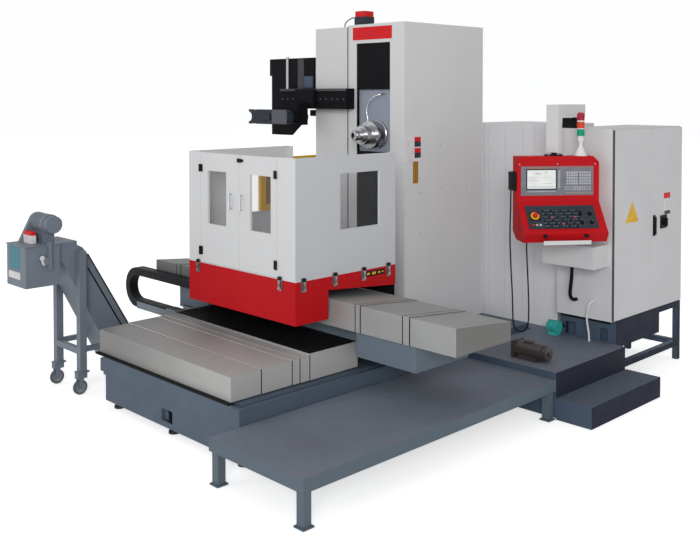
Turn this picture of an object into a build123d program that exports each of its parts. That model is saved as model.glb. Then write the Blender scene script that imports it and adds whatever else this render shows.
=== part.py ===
"""A horizontal machining center with its chip conveyor, walkways and electrical cabinet.

Millimetres. +X runs along the table's cross travel toward the operator's walkway, +Y runs along
the spindle axis from the bed's front end toward the column, and +Z is up. The origin is on the
floor under the middle of the bed. The table stands where it was stopped, left of centre.
"""
import math
import os

from build123d import *

os.makedirs("parts", exist_ok=True)

# Bed
bed_width = 1732.0
bed_length = 3266.0
bed_under = 60.0
bed_top = 403.0
bed_band_height = 140.0
bed_band_step = 12.0
gutter_inset = 26.0
gutter_width = 46.0
gutter_depth = 16.0
core_half_width = 560.0
core_height = 67.0
core_clearance = 40.0
core_overrun = 10.0
rail_clearance = 60.0
z_rail_x = 450.0
z_rail_width = 55.0
z_rail_height = 40.0
z_rail_end_y = 510.0
rail_gap = 0.3
pocket_x = (-67.0, 74.0)
pocket_z = (102.0, 190.0)
pocket_depth = 40.0
pocket_bolt_share = 0.7
pocket_bolt_radius = 15.0
pocket_bolt_gap = 12.0
pad_radius = 42.0
pad_height = 22.0
pad_stud_radius = 16.0
pad_left_inset = 90.0
pad_right_inset = 66.0
pad_middle_x = -18.0
pad_rows = 5
pad_inset = 90.0
pad_chamfer = 5.0
bed_half = bed_width / 2
bed_front = -bed_length / 2
bed_rear = bed_length / 2

# Telescopic covers of the bed ways, in front of the saddle
sheet = 3.0
nest_gap = 0.6
z_cover_left = -bed_half - 125.0
z_cover_right = bed_half - 119.0
z_cover_low = 413.0
pan_high_left = 606.0
pan_high_right = 594.0
z_cover_front = bed_front + 33.0
z_seam_b = z_cover_front + 254.0
z_seam_c = z_seam_b + 274.0
z_seam_d = z_seam_c + 70.0
pan_front = z_seam_d + 90.0
z_back = 350.0
z_ratio_c = 2.0 / 3.0
z_ratio_b = 1.0 / 3.0
overlap = 14.0
pan_rim = 9.0
pan_rim_width = 9.0
pan_frame_drop = 20.0
slat_pitch = 58.0
slat_width = 34.0
slat_height = 6.0
slat_clearance = 4.0
cover_foot_x = (-700.0, 0.0, 600.0)
cover_foot_width = 60.0
cover_foot_depth = 20.0

# Saddle with the cross ways
saddle_low = 531.0
saddle_high = 712.0
saddle_half_length = 1428.0
saddle_front = -425.0
saddle_wing_front = -538.0
saddle_back = 43.0
wing_right = z_cover_right + 99.0
x_rail_height = 38.0
x_rail_width = 45.0
x_rail_margin = 40.0
x_rail_y = (-385.0, -40.0)
shoe_half_width = 60.0

# Telescopic covers of the cross ways
x_cover_low = 718.0
x_cover_high_front = 919.0
x_cover_high_back = 861.0
x_cover_front = -560.0
x_cover_back = 66.0
x_cover_end = 1793.0
x_foot_inset = (70.0, 20.0)
x_foot_thick = 8.0
x_foot_height = 40.0
x_mid_edge_right = 1390.0
x_mid_edge_left = -1454.0
x_near_edge_right = 914.0
x_near_edge_left = -1042.0
x_band_mid = 65.0
x_band_near = 52.0
x_band_height = 2.0
x_plus = 540.0
x_minus = 460.0
x_ratio_mid = 0.5

# Table, rotary table and pallet
table_x = -64.0
table_y = -300.0
table_half_width = 350.0
table_front = -540.0
table_rear = 46.0
table_set_back = 300.0
table_plate_low = 930.0
table_high = 1010.0
rotary_radius = 296.0
rotary_height = 75.0
faceplate_radius = 270.0
faceplate_height = 18.0
pallet_side = 630.0
pallet_thick = 100.0
pallet_corner = 60.0
pallet_hole_pitch = 125.0
pallet_hole_radius = 10.0
pallet_hole_depth = 30.0

# Enclosure that rides on the table
wall = 20.0
box_left = -729.0
box_right = 600.0
box_front = -915.0
box_rear = 151.0
box_high = 1994.0
skirt_high = 1092.0
skirt_sheet = 4.0
skirt_low = 774.0
return_depth = 60.0
return_sheet = 6.0
skirt_step_y = -588.0
skirt_rear_low = 992.0
skirt_end_low = 928.0
skirt_notch_high = 842.0
notch_clearance = 9.0
floor_sheet = 4.0
door_gap = 3.0
door_left_hinge_x = -568.0
door_right_hinge_x = 389.0
door_seam_x = -60.0
door_low = 1100.0
door_high = 1990.0
window_low = 1418.0
window_high = 1845.0
left_window = (-469.0, -224.0)
right_window = (75.0, 322.0)
side_window = (-463.0, -33.0)
side_window_low = 1431.0
side_window_high = 1858.0
pane = 5.0
pane_lap = 15.0
handle_x = (-152.0, -16.0)
handle_z = (1560.0, 1690.0)
handle_radius = 7.0
handle_foot_radius = 4.5
handle_stand = 30.0
handle_foot_inset = 10.0
door_hinge_z = ((1160.0, 1227.0), (1834.0, 1893.0))
door_hinge_radius = 9.0
door_hinge_reach = 30.0
door_hinge_plate = 5.0
latch_width = 42.0
latch_lower = 76.0
latch_upper = 25.0
latch_depth = 20.0
latch_loop_half = 9.0
latch_pin_radius = 7.0
latch_pin_rise = 12.0
latch_z = 1090.0
latch_front_x = (-592.0, 435.0)
latch_side_y = (-842.0, -526.0, -218.0, 61.0)

# Column
column_left = -343.0
column_right = 342.0
column_front = 543.0
column_rear = 1634.0
column_high = 3080.0
side_cover_left = -784.0
side_cover_step = 9.0
side_cover_high = 3068.0
skin = 6.0
slot_left = -235.0
slot_right = 175.0
slot_low = 950.0
slot_high = 2912.0
casting_front = 940.0
casting_half_width = 290.0
casting_side = 120.0
casting_high = 3040.0
y_rail_height = 40.0
y_rail_margin = 20.0
y_rail_width = 55.0
y_rail_offset = 230.0

# Head, spindle and the covers over the vertical ways
head_low = 1950.0
head_high = 2503.0
head_up = 145.0
head_down = 700.0
plate_front = 575.0
head_plate_thick = 25.0
plate_gap = 6.0
head_truck_depth = 60.0
head_truck_half = 45.0
head_body_margins = (20.0, 120.0)
head_body_half_width = 150.0
cover_sheet = 3.0
cover_gap = 0.6
slot_lap = 12.0
way_overlap = 20.0
way_sill = 10.0
spindle_x = 0.0
spindle_z = 2105.0
flange_radius = 125.0
flange_thick = 25.0
barrel_radius = 118.0
barrel_front = 458.0
neck_radius = 82.0
neck_front = 362.0
shaft_radius = 40.0
bore_gap = 12.0
bore_end_gap = 30.0
shaft_back = 640.0
shaft_clearance = 0.05
nose_radius = 62.0
nose_collar = 334.0
nose_tip_radius = 43.0
nose_front = 264.0
nose_ring = (14.0, 24.0)
nose_ring_rise = 6.0
nose_bore = 22.0
nose_bore_depth = 90.0
nose_key_width = 18.0
nose_key_depth = 12.0
spindle_bolts = 8
spindle_bolt_radius = 8.0
spindle_bolt_head = 9.0
spindle_hose_radius = 7.0

# Feed motor on the column
feed_motor_x = (-430.0, -290.0)
feed_motor_y = (700.0, 840.0)
feed_motor_base = 14.0
feed_motor_body = 75.0
feed_cap = 53.0
feed_cable_radius = 5.0
feed_plug_drop = 3.0
feed_plug_radius = 15.0
feed_plug_length = 34.0

# Tool changer
hub_x = -790.0
hub_z = 2250.0
hub_radius = 62.0
hub_collar = 4.0
changer_travel = 315.0
rail_x = (-1174.0, hub_x + changer_travel + 214.0)
rail_y = (440.0, 542.5)
rail_z = (2326.0, 2512.0)
rail_slot = (28.0, 52.0)
rail_slot_depth = 8.0
rail_inset = 20.0
changer_x = (-1448.0, -801.0)
changer_y = (543.0, 575.0)
changer_z = (2065.0, 2805.0)
changer_lower_x = (-1418.0, -998.0)
changer_step_z = 2641.0
changer_chamfer = (140.0, 110.0)
changer_strip_x = (-1192.0, -1160.0)
changer_strip_rise = 15.0
changer_mount = (40.0, 240.0)
valve_x = -865.0
valve_y = (552.0, 640.0)
valve_z = (2255.0, 2312.0)
arm_y = (150.0, 222.0)
arm_plate_inset = 14.0
arm_reach = 515.0
arm_half_height = 68.0
arm_waist = 54.0
arm_waist_x = (-180.0, -160.0)
arm_jaw_length = 110.0
arm_nose = 60.0
jaw_radius = 46.0
jaw_mouth = 36.0
grip_cover_x = (-330.0, -190.0)
grip_cover_half = 30.0
carriage_half = 130.0
carriage_thick = 34.0
carriage_inset = 6.0
boom_half = 55.0
boom_z = (-20.0, 130.0)
gearbox_half = 70.0
gearbox_y = (90.0, 170.0)
gearbox_z = (-72.0, 90.0)
magazine_x = (-bed_half - 568.0, -bed_half - rail_gap)
magazine_y = (1270.0, 1900.0)
magazine_z = (1150.0, 2700.0)
pedestal_inset = 120.0
casing_sheet = 6.0
guard_x = magazine_x[0] + 100.0
guard_y = 302.0
guard_z = (1335.0, 1843.0)
guard_bar = 60.0
guard_thick = 40.0
guard_pane = 6.0
pedestal_flange = 60.0
pedestal_plate = 20.0

# Cable carrier beside the saddle
carrier_y = (-661.0, -565.0)
carrier_height = 75.0
carrier_low = 450.0
carrier_high = 827.0
carrier_skin = 2.0
carrier_gap = 0.5
carrier_centre_x = -1976.0
carrier_pitch = 60.0
carrier_groove = 6.0
groove_depth = 1.2
loop_high_end = -434.0
loop_low_end = -1290.0
upper_run = (-934.0, -134.0)
lower_run_start = -1464.0
tray_x = (-1954.0, z_cover_left - 5.0)
tray_sheet = 4.0
tray_high = 510.0
carrier_bracket = 25.0
bracket_span = (-240.0, -140.0)
bracket_trim = (10.0, 5.0)
bend_grooves = 9
run_grooves = 16
first_groove = 10.0
tray_bracket_span = (80.0, 60.0)

# Walkways and step
walk_x = (bed_half + 20.0, bed_half + 914.0)
walk_y = (-1890.0, 659.7)
walk_high = 300.0
walk_frame = 85.0
walk_leg = 60.0
walk_leg_inset = 45.0
foot_plate = 86.0
foot_thick = 10.0
deck = 6.0
platform_high = 355.0
platform_y = (660.0, bed_rear + 66.0)
platform_bend_x = walk_x[0] + 214.0
platform_bend_y = bed_rear + 12.0
platform_rear_x = 200.0
platform_rear_y = bed_rear + 817.0
platform_post_inset = 60.0
platform_lift = 12.0
frame_sheet = 5.0
tie_y = (860.0, 1440.0)
tie_height = 30.0
step_x = (walk_x[1] + 0.3, walk_x[1] + 304.0)
step_y = (platform_y[0], platform_y[1] + 17.0)
step_high = 163.0

# Electrical cabinet, its stand and the cabinet behind the column
cabinet_x = (walk_x[0] + 261.0, walk_x[0] + 809.0)
cabinet_y = (bed_rear + 20.0, bed_rear + 1251.0)
cabinet_z = (547.0, 2166.0)
cabinet_seam_y = cabinet_y[0] + 627.0
cabinet_rim = 30.0
cabinet_rim_depth = 20.0
mounting_plate_inset = (80.0, 120.0)
mounting_plate_thick = 12.0
cabinet_sheet = 3.0
cabinet_door_thick = 20.0
cabinet_door_margin = 8.0
door_clearance = 2.0
stand_bar = 50.0
stand_inset = 5.0
stand_y = (cabinet_y[0] + 52.0, cabinet_y[1] - 8.0)
stand_box_y = (stand_y[0] + 52.0, stand_y[0] + 765.0)
stand_box_z = (320.0, 496.0)
stand_rail_z = 130.0
stand_holes = ((48.0, 153.0), (393.0, 460.0))
stand_hole_z = (364.0, 470.0)
terminal_x = (cabinet_x[0] + 3.0, cabinet_x[1] - 51.0)
terminal_y = cabinet_y[0] - 236.0
terminal_z = (1014.0, 1200.0)
terminal_lid_margin = 8.0
rear_x = (217.0, platform_bend_x - 40.0)
rear_y = (bed_rear + 167.0, bed_rear + 767.0)
rear_high = 2191.0
rear_seams = (0.088, 0.3155, 0.555, 0.699)
rear_seam_width = 3.0
rear_seam_depth = 4.0
rear_seam_margins = (40.0, 20.0)
main_switch_y = cabinet_y[1] - 365.0
main_switch_z = 1315.0
main_switch_plate = 58.0
main_switch_collar = 8.0
main_switch_radius = 34.0
main_switch_thick = 14.0
main_switch_grip = 20.0
door_pull_y = (cabinet_seam_y + 47.0, cabinet_seam_y + 87.0)
door_pull_z = (1217.0, 1373.0)
door_pull_plate = 5.0
door_pull_rise = 22.0
door_pull_margins = (10.0, 6.0, 14.0)

# Coolant pumps on the platform and the hoses under the terminal box
floor_motor_x = (cabinet_x[0] + 171.0, cabinet_x[0] + 413.0)
floor_motor_y = platform_y[0] + 177.0
floor_motor_radius = 64.0
floor_motor_lift = 4.0
floor_motor_flange = 28.0
floor_motor_cap = 40.0
floor_motor_knob = 14.0
floor_motor_hump_x = (cabinet_x[0] + 237.0, cabinet_x[0] + 305.0)
floor_motor_hump_half = 27.0
floor_motor_hump_rise = 12.0
floor_motor_feet_x = (cabinet_x[0] + 203.0, cabinet_x[0] + 373.0)
floor_motor_shaft = 26.0
small_pump_x = (cabinet_x[0] - 52.0, cabinet_x[0] + 48.0)
small_pump_y = cabinet_y[0] - 38.0
small_pump_z = 425.0
small_pump_radius = 55.0
small_pump_core = 47.0
small_pump_fins = 7
small_pump_foot = 34.0
small_pump_neck = 22.0
drain_hose_radius = 15.0
air_hose_radius = 9.0

# Pendant on its arm
arm_base_x = cabinet_x[0] + 143.0
arm_base_y = cabinet_y[0] + 49.0
arm_block = ((-102.0, 35.0), (-46.0, 43.0), 88.0)
arm_block_knobs = ((-92.0, -14.0), (-92.0, 22.0))
arm_block_knob_radius = 8.0
arm_block_knob_rise = 34.0
arm_base_radius = 30.0
swivel_x = arm_base_x + 19.0
swivel_y = arm_base_y - 360.0
arm_width = 120.0
arm_low = 2262.0
arm_high = 2372.0
duct_depth = 50.0
clamp_rise = 26.0
clamp_radius = 24.0
pendant_yaw = 52.0
pendant_half = 350.0
pendant_high = 1946.0
pendant_chamfer = 50.0
pendant_low = 1262.0
pendant_skin = 8.0
pendant_back = 10.0
pendant_face = -110.0
pendant_kink = 1575.0
pendant_heel = (20.0, 60.0)
pendant_lip_z = 1335.0
pendant_lip = -325.0
pendant_chin = -285.0
display_u = (-317.0, 301.0)
display_z = (1623.0, 1864.0)
machine_panel_u = (-298.0, 284.0)
machine_panel_margin = 49.0
panel_plate = 6.0
stop_u = -232.0
stop_z = 1462.0
stop_travel = 6.0
stop_collar = 8.0
stop_collar_radius = 26.0
stop_stem_radius = 8.0
stop_head = 16.0
stop_head_radius = 20.0
knob_u = 150.0
knob_z = 1474.0
knob_radius = 19.0
knob_height = 15.0
knob_grip_half = 4.0
knob_grip_rise = 7.0
handwheel_u = (-392.0, -350.3)
handwheel_z = (1665.0, 1816.0)
handwheel_radius = 19.0
handwheel_thick = 24.0
handwheel_recess = 20.0
handwheel_grip = (10.0, 5.0)
handwheel_grip_radius = 4.5
mpg_radius = 6.0
shelf_u = (-198.0, 197.0)
shelf_y = (-345.0, -245.0)
shelf_thick = 12.0
shelf_lip = 20.0
shelf_lip_thick = 6.0
lamp_u = 213.0
lamp_y = -50.0
lamp_foot_radius = 57.0
lamp_foot_high = 1956.0
lamp_cone = (50.0, 20.0)
lamp_cone_high = 2018.0
lamp_pole_radius = 15.0
lamp_rings = (
    (2069.0, 2112.0, 26.0),
    (2112.0, 2169.0, 31.0),
    (2169.0, 2175.0, 29.5),
    (2175.0, 2230.0, 31.0),
    (2230.0, 2241.0, 29.5),
    (2241.0, 2294.0, 31.0),
    (2294.0, 2307.0, 25.0),
)

# Chip conveyor
conveyor_x = (-1646.0, -1324.0)
trunk_front_y = -1775.0
trunk_high = 1229.0
trunk_bend = (
    (-1611.0, trunk_high),
    (-1560.0, trunk_high - 29.0),
    (-1512.0, trunk_high - 91.0),
)
trunk_top_foot = (-1087.0, 410.0)
trunk_under_y = -1735.0
trunk_under_z = 1097.0
trunk_low_foot = (-1272.0, 210.0)
trunk_end_y = -340.0
trunk_mouth_inset = 20.0
trunk_mouth_start = 160.0
trunk_mouth_floor = 40.0
neck_plate_lip = 6.0
head_box_x = (-1623.0, -1290.0)
head_box_y = (-2063.0, -1775.5)
head_box_z = (930.0, 1260.0)
chute_inset = 30.0
chute_rear_inset = 90.0
chute_depth = 200.0
bracket_y = (-1885.0, -1855.0)
bracket_z = (1060.0, 1282.0)
bracket_thick = 28.0
drive_boss = (-1912.0, 1135.0, 34.0)
drive_boss_thick = 26.0
hub_boss = (-1940.0, 1163.0, 20.0)
hub_boss_thick = 30.0
leg_x = (-1284.0, -1684.0)
leg_y = -1593.0
leg_side = 60.0
leg_low = 190.0
leg_high = 1180.0
wheel_radius = 60.0
wheel_width = 30.0
wheel_axle_radius = 6.0
wheel_hub_radius = 20.0
wheel_hub_rise = 3.0
wheel_clearance = 0.05
wheel_y = -1610.0
leg_lip = 6.0
leg_plate = 12.0
leg_plate_half = 50.0
fork_clearance = 4.0
fork_sheet = 5.0
fork_half = 22.0
fork_drop = 20.0
crown_half = 36.0
crown_clearance = 12.0
cross_z = (330.0, 380.0)
cross_depth = 40.0
strut_z = (345.0, 385.0)
strut_half = 20.0
strut_end_y = -1240.0
gear_motor_x = (-1560.0, -1300.0)
gear_motor_y = -1816.0
gear_motor_z = 1412.0
gear_motor_radius = 78.0
gear_motor_fins = 8
gear_motor_fin_pitch = 18.0
gear_motor_fin_gap = 7.0
gear_motor_fin_depth = 7.0
gear_motor_cap = 60.0
gear_motor_cap_radius = 70.0
gear_motor_foot_x = (-1560.0, -1400.0)
gear_motor_foot_half = 50.0
chain_guard_x = (-1600.0, -1560.0)
chain_guard_y = (-1985.0, -1870.0)
chain_guard_radius = 80.0
switch_box_x = (-1555.0, -1415.0)
switch_box_y = (-1955.0, -1915.0)
switch_box_high = 1325.0
switch_cap_high = 1355.0
switch_cap_inset = 2.0


def block(x, y, z):
    """A box between two corners, given as (low, high) pairs."""
    size = (x[1] - x[0], y[1] - y[0], z[1] - z[0])
    middle = ((x[0] + x[1]) / 2, (y[0] + y[1]) / 2, (z[0] + z[1]) / 2)
    return Pos(*middle) * Box(*size)


def rod_z(x, y, z, radius):
    """An upright cylinder between two heights."""
    return Pos(x, y, (z[0] + z[1]) / 2) * Cylinder(radius, z[1] - z[0])


def rod_x(x, y, z, radius):
    """A cylinder along X between two ends."""
    return Pos((x[0] + x[1]) / 2, y, z) * Rot(0, 90, 0) * Cylinder(radius, x[1] - x[0])


def rod_y(x, y, z, radius):
    """A cylinder along Y between two ends."""
    return Pos(x, (y[0] + y[1]) / 2, z) * Rot(90, 0, 0) * Cylinder(radius, y[1] - y[0])


def profile_x(points, x):
    """A (y, z) outline pushed along X."""
    face = Plane.YZ * make_face(Polyline(*points, close=True))
    return Pos(x[0], 0, 0) * extrude(face, x[1] - x[0])


def profile_y(points, y):
    """An (x, z) outline pushed along Y."""
    face = Plane.XZ * make_face(Polyline(*points, close=True))
    return Pos(0, y[1], 0) * extrude(face, y[1] - y[0])


def profile_z(points, z):
    """An (x, y) outline pushed along Z."""
    face = make_face(Polyline(*points, close=True))
    return Pos(0, 0, z[0]) * extrude(face, z[1] - z[0])


def hollow_profile_x(points, x, thick):
    """A closed shell with a (y, z) outline pushed along X."""
    inner = offset(make_face(Polyline(*points, close=True)), amount=-thick, kind=Kind.INTERSECTION)
    core = Pos(x[0] + thick, 0, 0) * extrude(Plane.YZ * inner, x[1] - x[0] - 2 * thick)
    return profile_x(points, x) - core


def hollow_block(x, y, z, thick):
    """A closed box of sheet metal."""
    inner = [(low + thick, high - thick) for low, high in (x, y, z)]
    return block(x, y, z) - block(*inner)


def group(*shapes):
    """Separate solids kept side by side in one node."""
    solids = []
    for shape in shapes:
        solids += list(shape.solids())
    return Compound(children=solids)


def save(name, shape):
    export_step(shape, f"parts/{name}.step")


def cord(name, points, radius):
    """A tube of straight runs and tangent arcs, each arc as large as its two runs allow."""
    stops = [Vector(*point) for point in points]
    radii = []
    for before, corner, after in zip(stops, stops[1:], stops[2:]):
        run_in = corner - before
        run_out = after - corner
        turn = math.radians(run_in.get_angle(run_out))
        radii.append(0.45 * min(run_in.length, run_out.length) / math.tan(turn / 2))
    path = FilletPolyline(*points, radius=radii)
    start = Plane(origin=path @ 0, z_dir=path % 0)
    tube = sweep(start * Circle(radius), path)
    expected = math.pi * radius**2 * path.length
    print(f"{name}: length {path.length:.0f}, tightest bend {min(radii):.0f},", end=" ")
    print(f"volume over section times length {tube.volume / expected:.4f}")
    save(name, tube)


z_rail_top = bed_top + core_height + z_rail_height
x_rail_top = saddle_high + x_rail_height


def bed_casting():
    upper = block((-bed_half, bed_half), (bed_front, bed_rear), (bed_top - bed_band_height, bed_top))
    lower = block(
        (-bed_half + bed_band_step, bed_half - bed_band_step),
        (bed_front + bed_band_step, bed_rear - bed_band_step),
        (bed_under, bed_top - bed_band_height),
    )
    gutter = block(
        (-bed_half + gutter_inset, bed_half - gutter_inset),
        (bed_front + gutter_inset, column_front - gutter_inset),
        (bed_top - gutter_depth, bed_top + 1),
    )
    inner = gutter_inset + gutter_width
    gutter -= block(
        (-bed_half + inner, bed_half - inner),
        (bed_front + inner, column_front),
        (bed_top - gutter_depth - 1, bed_top + 2),
    )
    core = block(
        (-core_half_width, core_half_width),
        (z_cover_front + sheet + core_clearance, z_rail_end_y + core_overrun),
        (bed_top, bed_top + core_height),
    )
    pocket = block(pocket_x, (bed_front, bed_front + pocket_depth), pocket_z)
    body = upper + lower - gutter + core - pocket
    bolt_x = pocket_x[0] + pocket_bolt_share * (pocket_x[1] - pocket_x[0])
    bolt_y = bed_front + pocket_depth - pocket_bolt_radius + 1
    bolt_z = (pocket_z[0], pocket_z[1] - pocket_bolt_gap)
    bolt = rod_z(bolt_x, bolt_y, bolt_z, pocket_bolt_radius)
    rails = []
    for side in (-1, 1):
        rail = block(
            (side * z_rail_x - z_rail_width / 2, side * z_rail_x + z_rail_width / 2),
            (z_cover_front + sheet + rail_clearance, z_rail_end_y),
            (bed_top + core_height, z_rail_top),
        )
        rails.append(rail)
    save("bed_casting", group(body, bolt, *rails))


def leveling_pads():
    pads = []
    pitch = (bed_length - 2 * pad_inset) / (pad_rows - 1)
    for x in (-bed_half + pad_left_inset, pad_middle_x, bed_half - pad_right_inset):
        for row in range(pad_rows):
            y = bed_front + pad_inset + row * pitch
            disc = rod_z(x, y, (0, pad_height), pad_radius)
            disc = chamfer(disc.edges().group_by(Axis.Z)[-1], pad_chamfer)
            pads.append(disc + rod_z(x, y, (pad_height, bed_under), pad_stud_radius))
    save("leveling_pads", group(*pads))


z_pitch = sheet + nest_gap
pan_plate = z_pitch + sheet
z_overlap_b = z_ratio_b * z_back + overlap
z_overlap_c = (z_ratio_c - z_ratio_b) * z_back + overlap
z_overlap_d = (1 - z_ratio_c) * z_back + overlap


def z_outline(inset, low=z_cover_low):
    """The cover's cross-section, a given distance inside the outermost length."""
    return [
        (z_cover_left + inset, low),
        (z_cover_left + inset, pan_high_left - inset),
        (z_cover_right - inset, pan_high_right - inset),
        (z_cover_right - inset, low),
    ]


def z_channel(inset, y, front_wall=0.0):
    """One length of the bed way cover: a top and two sides, open behind and below."""
    shell = profile_y(z_outline(inset), y)
    return shell - profile_y(z_outline(inset + sheet, z_cover_low - 1), (y[0] + front_wall, y[1] + 1))


def z_covers():
    front = z_channel(4 * z_pitch, (z_cover_front, z_seam_b + z_overlap_b), front_wall=sheet)
    half = cover_foot_width / 2
    foot_y = (z_cover_front + sheet, z_cover_front + sheet + cover_foot_depth)
    for x in cover_foot_x:
        front += block((x - half, x + half), foot_y, (bed_top, z_cover_low + cover_foot_depth))
    save("z_cover_front", front)
    save("z_cover_b", z_channel(3 * z_pitch, (z_seam_b, z_seam_c + z_overlap_c)))
    save("z_cover_c", z_channel(2 * z_pitch, (z_seam_c, z_seam_d + z_overlap_d)))


def chip_pan():
    """The outermost cover length, with the rimmed tray that catches the falling chips."""
    band = z_channel(z_pitch, (z_seam_d, pan_front + 1))
    tray = profile_y(z_outline(0), (pan_front, saddle_front))
    tray -= profile_y(z_outline(pan_plate, z_cover_low - 1), (pan_front - 1, saddle_front + 1))
    raised = profile_y(z_outline(-pan_rim, z_cover_low), (pan_front, saddle_front))
    inside = block(
        (z_cover_left + pan_rim_width, z_cover_right - pan_rim_width),
        (pan_front + pan_rim_width, saddle_front - pan_rim_width),
        (z_cover_low, pan_high_left + 2 * pan_rim),
    )
    frame = block(
        (z_cover_left, z_cover_right),
        (pan_front, saddle_front),
        (pan_high_right - pan_frame_drop, pan_high_left + 2 * pan_rim),
    )
    rim = (raised & frame) - inside
    rim -= profile_y(z_outline(pan_plate, z_cover_low - 1), (pan_front - 1, saddle_front + 1))
    body = band + tray + rim
    slats = []
    clear = pan_rim_width + slat_clearance
    count = int((z_cover_right - z_cover_left - 2 * clear) / slat_pitch)
    fall = (pan_high_right - pan_high_left) / (z_cover_right - z_cover_left)
    for i in range(count):
        middle = z_cover_left + clear + (i + 0.5) * slat_pitch
        base = pan_high_left + fall * (middle - z_cover_left)
        slope = fall * slat_width / 2
        corners = [
            (middle - slat_width / 2, base - slope),
            (middle - slat_width / 2, base - slope + slat_height),
            (middle + slat_width / 2, base + slope + slat_height),
            (middle + slat_width / 2, base + slope),
        ]
        slats.append(profile_y(corners, (pan_front + clear, saddle_front - clear)))
    save("chip_pan", group(body, *slats))


def saddle_beam():
    wing_left = tray_x[1] - 1
    outline = [
        (-saddle_half_length, saddle_back),
        (-saddle_half_length, saddle_wing_front),
        (wing_left, saddle_wing_front),
        (wing_left, saddle_front),
        (wing_right, saddle_front),
        (wing_right, saddle_wing_front),
        (saddle_half_length, saddle_wing_front),
        (saddle_half_length, saddle_back),
    ]
    body = profile_z(outline, (saddle_low, saddle_high))
    for side in (-1, 1):
        body += block(
            (side * z_rail_x - shoe_half_width, side * z_rail_x + shoe_half_width),
            (saddle_front, saddle_back),
            (z_rail_top + rail_gap, saddle_low),
        )
    rails = []
    for y in x_rail_y:
        rail = block(
            (-saddle_half_length + x_rail_margin, saddle_half_length - x_rail_margin),
            (y - x_rail_width / 2, y + x_rail_width / 2),
            (saddle_high, x_rail_top),
        )
        rails.append(rail)
    save("saddle_beam", group(body, *rails))


x_pitch = sheet + nest_gap
x_overlap = overlap


def x_outline(inset, low=x_cover_low):
    """The cross cover's section, whose top falls toward the column."""
    return [
        (x_cover_front + inset, low),
        (x_cover_front + inset, x_cover_high_front - inset),
        (x_cover_back - inset, x_cover_high_back - inset),
        (x_cover_back - inset, low),
    ]


def x_channel(inset, x, left_wall=0.0, right_wall=0.0):
    """One length of cross cover. A wall closes its left or its right end."""
    shell = profile_x(x_outline(inset), x)
    start = x[0] + left_wall if left_wall else x[0] - 1
    stop = x[1] - right_wall if right_wall else x[1] + 1
    return shell - profile_x(x_outline(inset + sheet, x_cover_low - 1), (start, stop))


def x_band(inset, x):
    """The raised strip around a cover's outer edge that holds its wiper."""
    band = profile_x(x_outline(inset - x_band_height), x)
    hollow = x_outline(inset + sheet, x_cover_low - 1)
    return band - profile_x(hollow, (x[0] - 1, x[1] + 1))


def x_covers():
    table_left = table_x - table_half_width
    table_right = table_x + table_half_width
    near = x_channel(0, (table_right, x_near_edge_right))
    near += x_band(0, (x_near_edge_right - x_band_near, x_near_edge_right))
    near_left = x_channel(0, (x_near_edge_left, table_left))
    near_left += x_band(0, (x_near_edge_left, x_near_edge_left + x_band_near))
    save("x_table_covers", group(near, near_left))

    mid_in_right = x_near_edge_right - x_overlap - (1 - x_ratio_mid) * x_minus
    mid_in_left = x_near_edge_left + x_overlap + (1 - x_ratio_mid) * x_plus
    mid = x_channel(x_pitch, (mid_in_right, x_mid_edge_right))
    mid += x_band(x_pitch, (x_mid_edge_right - x_band_mid, x_mid_edge_right))
    mid_left = x_channel(x_pitch, (x_mid_edge_left, mid_in_left))
    mid_left += x_band(x_pitch, (x_mid_edge_left, x_mid_edge_left + x_band_mid))
    save("x_mid_covers", group(mid, mid_left))

    end_in_right = x_mid_edge_right - x_overlap - x_ratio_mid * x_minus
    end_in_left = x_mid_edge_left + x_overlap + x_ratio_mid * x_plus
    ends = []
    for side, inner in ((1, end_in_right), (-1, end_in_left)):
        if side > 0:
            shell = x_channel(2 * x_pitch, (inner, x_cover_end), right_wall=sheet)
            foot_x = (saddle_half_length - x_foot_inset[0], saddle_half_length - x_foot_inset[1])
        else:
            shell = x_channel(2 * x_pitch, (-x_cover_end, inner), left_wall=sheet)
            foot_x = (x_foot_inset[1] - saddle_half_length, x_foot_inset[0] - saddle_half_length)
        inset = 2 * x_pitch
        foot_front = (x_cover_front + inset, saddle_wing_front + x_foot_thick)
        foot_back = (saddle_back - x_foot_thick, x_cover_back - inset)
        foot_top = x_cover_low + x_foot_height
        for foot_y in (foot_front, foot_back):
            shell += block(foot_x, foot_y, (x_cover_low, foot_top))
        shell += block(foot_x, (saddle_wing_front, foot_front[1]), (saddle_high, foot_top))
        shell += block(foot_x, (foot_back[0], saddle_back), (saddle_high, foot_top))
        ends.append(shell)
    save("x_end_covers", group(*ends))


def table_base():
    x = (table_x - table_half_width, table_x + table_half_width)
    body = block(x, (table_front, table_rear), (x_rail_top + rail_gap, table_plate_low))
    body += block(x, (box_front + table_set_back, table_rear), (table_plate_low, table_high))
    ring = rod_z(table_x, table_y, (table_high, table_high + rotary_height), rotary_radius)
    save("table_base", group(body + ring))


def pallet():
    low = table_high + rotary_height + rail_gap
    disc = rod_z(table_x, table_y, (low, low + faceplate_height), faceplate_radius)
    half = pallet_side / 2
    top = low + faceplate_height + pallet_thick
    plate = block(
        (table_x - half, table_x + half),
        (table_y - half, table_y + half),
        (low + faceplate_height, top),
    )
    plate = chamfer(plate.edges().filter_by(Axis.Z), pallet_corner)
    holes = []
    for i in range(-2, 3):
        for j in range(-2, 3):
            x = table_x + i * pallet_hole_pitch
            y = table_y + j * pallet_hole_pitch
            holes.append(rod_z(x, y, (top - pallet_hole_depth, top + 1), pallet_hole_radius))
    save("pallet", disc + plate - holes)


box_x = (box_left, box_right)
box_y = (box_front, box_rear)


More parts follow.
